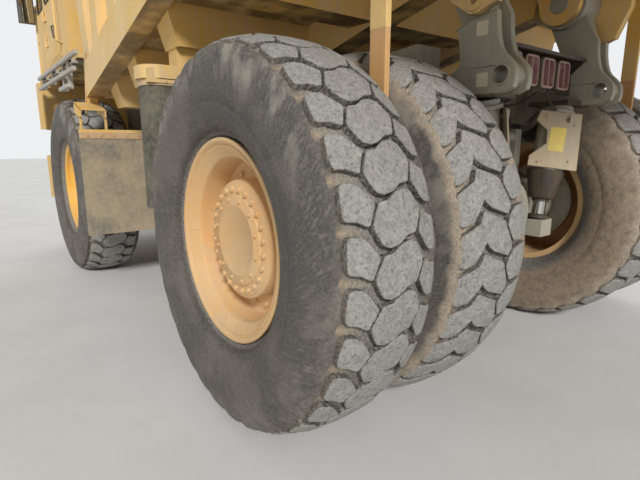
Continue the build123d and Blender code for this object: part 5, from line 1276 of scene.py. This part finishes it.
def cushion(low, high, power=0.35, steps=28, crown=0.12):
    """A stuffed pad between two corners: sx cos(v)^p cos(w)^p, sy cos(v)^p sin(w)^p, sz sin(v)^p
    with signs kept, its top raised in the middle by the crown."""
    low, high = np.asarray(low, float), np.asarray(high, float)
    v = np.linspace(-math.pi / 2, math.pi / 2, steps)[1:-1, None]
    w = np.linspace(0, 2 * math.pi, 2 * steps, endpoint=False)[None, :]

    def shaped(value):
        return np.sign(value) * np.abs(value) ** power

    form = np.stack([shaped(np.cos(v)) * shaped(np.cos(w)), shaped(np.cos(v)) * shaped(np.sin(w)),
                     shaped(np.sin(v)) * np.ones_like(w)], -1)
    belly = np.clip(1 - form[..., 0] ** 2, 0, 1) * np.clip(1 - form[..., 1] ** 2, 0, 1)
    form[..., 2] += crown * belly * np.sign(form[..., 2])
    form /= (1, 1, 1 + crown)
    middle, half = (low + high) / 2, (high - low) / 2
    rings = spots(middle + form * half)
    return stacked(rings, spots(middle - (0, 0, half[2])), spots(middle + (0, 0, half[2])))


# The driver's place across, the height where the chair's back begins, and its lean: 70 in 690.
CHAIR_Y, BACK_FOOT, BACK_LEAN = 1435, 3130, 70 / 690


def leaned(part):
    """The surface sheared backwards: u falls by BACK_LEAN for each mm above BACK_FOOT."""
    points, faces, values = part
    shift = (points[:, 2] - BACK_FOOT / 1000) * BACK_LEAN
    return points - shift[:, None] * AHEAD, faces, values


def make_chair():
    """Stuffed pads, base with bellows, shell and belt."""
    y = CHAIR_Y
    pads = [("seat_pad", cushion((3985, y - 265, 3000), (4518, y + 265, 3128)), 0.75),
            ("back_pad", leaned(cushion((3986, y - 255, 3135), (4105, y + 255, 3700))), 0.7),
            ("head_pad", leaned(cushion((3990, y - 150, 3705), (4090, y + 150, 3818))), 0.7)]
    for name, part, fill in pads:
        made = piece("chair_" + name, [part], CLOTH)
    base = [box((4020, y - 200, 2570), (4400, y + 200, 2640), 6),
            turned([(0, 0), (0, 150), (30, 150), (60, 110), (100, 150), (140, 110), (180, 150),
                    (220, 110), (260, 150), (290, 150), (290, 0)], (4210, y, 2640), UP, 24),
            box((3990, y - 250, 2930), (4500, y + 250, 3004), 10)]
    back = leaned(box((3975, y - 235, 3120), (4000, y + 235, 3790), 8))
    for name, group in (("chair_base", base), ("chair_shell", [back])):
        piece(name, group, PLASTIC, replaces=["driver_chair"])
    belts = [tube([(4040, y + s * 262, 3020), (4150, y + s * 200, 3150), (4200, y + s * 60, 3160)],
                  12, 6) for s in (-1, 1)]
    piece("chair_belt", belts, CLOTH)


def make_controls():
    """Steering wheel on its column, gauges, pedals and the lever's console."""
    head, foot = np.array((4825, CHAIR_Y, 3330.0)), np.array((5325, CHAIR_Y, 2720.0))
    side, over, axis = axes(head - foot)
    t = np.arange(40)[:, None] * 2 * math.pi / 40
    rim = tube(head + 201 * (np.cos(t) * side + np.sin(t) * over), 15, 12, closed=True)
    spokes = [tube([head - 10 * axis, head + 190 * (math.cos(a) * side + math.sin(a) * over)], 11,
                   8) for a in (math.pi / 2, math.pi * 7 / 6, math.pi * 11 / 6)]
    hub = turned([(-30, 0), (-30, 48), (6, 52), (14, 44), (18, 0)], head, axis, 28)
    column = turned([(0, 0), (0, 33), (520, 33), (560, 45), (700, 45), (760, 30), (760, 0)], foot,
                    axis, 20)
    piece("steering_column", [rim, hub, column] + spokes, PLASTIC, replaces=["steering_wheel"])
    gauges, glasses = [], []
    for number, (gy, gz, r) in enumerate(((1150, 3060, 42), (1260, 3060, 42), (1435, 3055, 62),
                                          (1610, 3060, 42), (1720, 3060, 42))):
        u = 5180 - (3090 - gz) * 0.153 - 3
        gauges.append(turned([(0, r - 9), (10, r - 7), (12, r - 3), (10, r), (0, r + 1)],
                             (u, gy, gz), BACK, 28))
        glasses.append(turned([(0, 0), (0, r - 8), (4, r - 8), (4, 0)], (u, gy, gz), BACK, 28))
    piece("gauge_rims", gauges, PLASTIC)
    piece("gauge_faces", glasses, CLEAR_LENS)
    pedals = [plate(rounded(80, 120, 10), (5080, py, 2690), (-1, 0, 0.7), 8, 2)
              for py in (1320, 1560)]
    pedals += [rod((5110, py, 2640), (5140, py, 2575), 12) for py in (1320, 1560)]
    levers = [tube([(4300, 1130, 2900), (4310, 1130, 3150), (4330, 1130, 3220)], 11),
              dome((4330, 1130, 3218), UP, 24, 30), box((4180, 1080, 2570), (4440, 1180, 2905), 12)]
    piece("cab_pedals", pedals + levers, PLASTIC)


# The cab's outer side, and the heights of the side and rear windows.
CAB_SIDE_Y = 2120
SILL_Z, HEADER_Z = 3285, 3895


def screen_u(z):
    """Where the leaning windscreen's middle plane is at the height z."""
    return 5500 - 250 * (z - 3150) / 870


def make_cab_trim():
    """Seals of the windscreen, rear, right, quarter and door windows, door handle and pressing,
    wiper, grab rail and gutter."""
    y, low, high = CAB_SIDE_Y, 3205, 3925
    screen = [(screen_u(z) + 2, place, z) for place, z in rectangle((845, low), (2025, high))]
    rear = [(3600, *place) for place in rectangle((875, SILL_Z), (1995, HEADER_Z))]
    right = [at(place, 750) for place in rectangle((3805, SILL_Z), (4945, HEADER_Z))]
    quarter = [(4944, y, SILL_Z), (screen_u(3280) - 114, y, SILL_Z),
               (screen_u(3900) - 114, y, HEADER_Z), (4944, y, HEADER_Z)]
    seals = [frame_of_tube(corners, radius, corner) for corners, radius, corner in
             ((screen, 13, 60), (rear, 12, 50), (right, 12, 50), (quarter, 12, 40))]
    piece("window_seals", seals, HOSE)
    door_seal = frame_of_tube([at(place, y) for place in rectangle((4042, 3282), (4758, 3853))],
                              12, 50)
    piece("door_seal", [door_seal], HOSE, body="cab_door")
    handle = [plate(rounded(44, 200, 20), (4296, y - 1, 2887), LEFT, 8, 3, up=(0.47, 0, 0.88)),
              tube([(4255, 2124, 2810), (4262, 2146, 2824), (4330, 2146, 2950), (4337, 2124, 2964)],
                   8)]
    piece("door_handle", handle, PLASTIC, body="cab_door")
    panel = plate(rounded(720, 520, 60), (4400, y - 0.5, 2870), LEFT, 4, 2, up=UP)
    piece("door_pressing", [panel], YELLOW, body="cab_door")
    wiper = [tube([(screen_u(3240) + 22, 1435, 3240), (screen_u(3500) + 22, 1560, 3500)], 7),
             tube([(screen_u(3330) + 20, 1640, 3330), (screen_u(3760) + 20, 1500, 3760)], 6)]
    piece("wiper", wiper, PLASTIC)
    grab = [tube([(3900, y + 2, 2700), (3900, 2175, 2720), (3900, 2175, 3500),
                  (3900, y + 2, 3520)], 14)]
    piece("grab_rail", grab, YELLOW)
    gutter = [tube([(3610, y + 2, 4005), (5245, y + 2, 4005)], 10, 8)]
    piece("roof_gutter", gutter, YELLOW)


# Floor, light and camera

# Sunlight: name, strength, spread in degrees, where it shines.
SUNS = (("key", 2.3, 10, (0.76, -0.40, -0.50)), ("fill", 0.6, 60, (-0.6, 0.6, -0.5)))
# The camera as solved from the photograph: focal length and width in its pixels, place in m, turn
# and tilt in degrees.
FOCAL_PX, PHOTO_PX = 465.25, 640
CAMERA_AT, CAMERA_TURN, CAMERA_TILT = (-3.8715, 3.235, 1.580), -37.69, -11.57
FLOOR_HALF = 60
CONCRETE = ("#DEDDDA", "#E6E5E2")
# How bright the air is to what it lights, and as it is seen.
AIR_LIGHT, AIR_SEEN = 0.42, 1.0


def make_stage():
    """A pale floor, a broad sun from the camera's left, a weaker one opposite, and pale air."""
    mesh = bpy.data.meshes.new("floor")
    square = rectangle((-FLOOR_HALF, -FLOOR_HALF), (FLOOR_HALF, FLOOR_HALF))
    mesh.from_pydata([(x, y, 0) for x, y in square], [], [(0, 1, 2, 3)])
    material, tree, place, _ = new_material("swept_concrete_pale")
    cloud = patches(tree, place, 900, 0.3, 0.7)
    shaded(tree, {"Base Color": mixed(tree, cloud, *CONCRETE), "Roughness": 0.9})
    mesh.materials.append(material)
    floor = bpy.data.objects.new("floor", mesh)
    bpy.context.scene.collection.objects.link(floor)
    for name, strength, spread, towards in SUNS:
        lamp = bpy.data.lights.new(name, "SUN")
        lamp.energy = strength
        lamp.angle = math.radians(spread)
        holder = bpy.data.objects.new(name, lamp)
        holder.rotation_mode = "QUATERNION"
        holder.rotation_quaternion = Vector(towards).to_track_quat("-Z", "Y")
        bpy.context.scene.collection.objects.link(holder)
    world = bpy.data.worlds.new("studio_air")
    bpy.context.scene.world = world
    world.use_nodes = True
    tree = world.node_tree
    tree.nodes.clear()
    path = add(tree, "LightPath")
    seen = add(tree, "Math", {0: path["Is Camera Ray"], 1: path["Is Glossy Ray"]},
               operation="MAXIMUM")[0]
    seen = add(tree, "Math", {0: seen, 1: path["Is Transmission Ray"]}, operation="MAXIMUM")[0]
    strength = add(tree, "MapRange", {0: seen, 3: AIR_LIGHT, 4: AIR_SEEN})[0]
    air = add(tree, "Background", {0: colour("#EEF0F2"), 1: strength})[0]
    add(tree, "OutputWorld", {0: air})


def make_camera():
    """The camera where the photograph was taken, low behind the left rear wheel."""
    data = bpy.data.cameras.new("camera")
    data.sensor_width = 36
    data.lens = FOCAL_PX / PHOTO_PX * data.sensor_width
    camera = bpy.data.objects.new("camera", data)
    camera.location = CAMERA_AT
    turn, tilt = math.radians(CAMERA_TURN), math.radians(CAMERA_TILT)
    aim = Vector((math.cos(tilt) * math.cos(turn), math.cos(tilt) * math.sin(turn), math.sin(tilt)))
    camera.rotation_mode = "QUATERNION"
    camera.rotation_quaternion = aim.to_track_quat("-Z", "Y")
    bpy.context.scene.collection.objects.link(camera)
    bpy.context.scene.camera = camera


finish_nodes()
for make in (make_tyres, make_wheels, make_rear_struts, make_strut_guards, make_strut_valves,
             make_rear_axle, make_brackets, make_tail_lamps, make_lock_plates, make_rear_flaps,
             make_ejectors, make_side_bars, make_front_flaps, make_hoists, make_tanks, make_drive,
             make_front, make_deck_gear, make_chair, make_controls, make_cab_trim, make_stage,
             make_camera):
    make()
bpy.context.scene.view_settings.view_transform = "Standard"
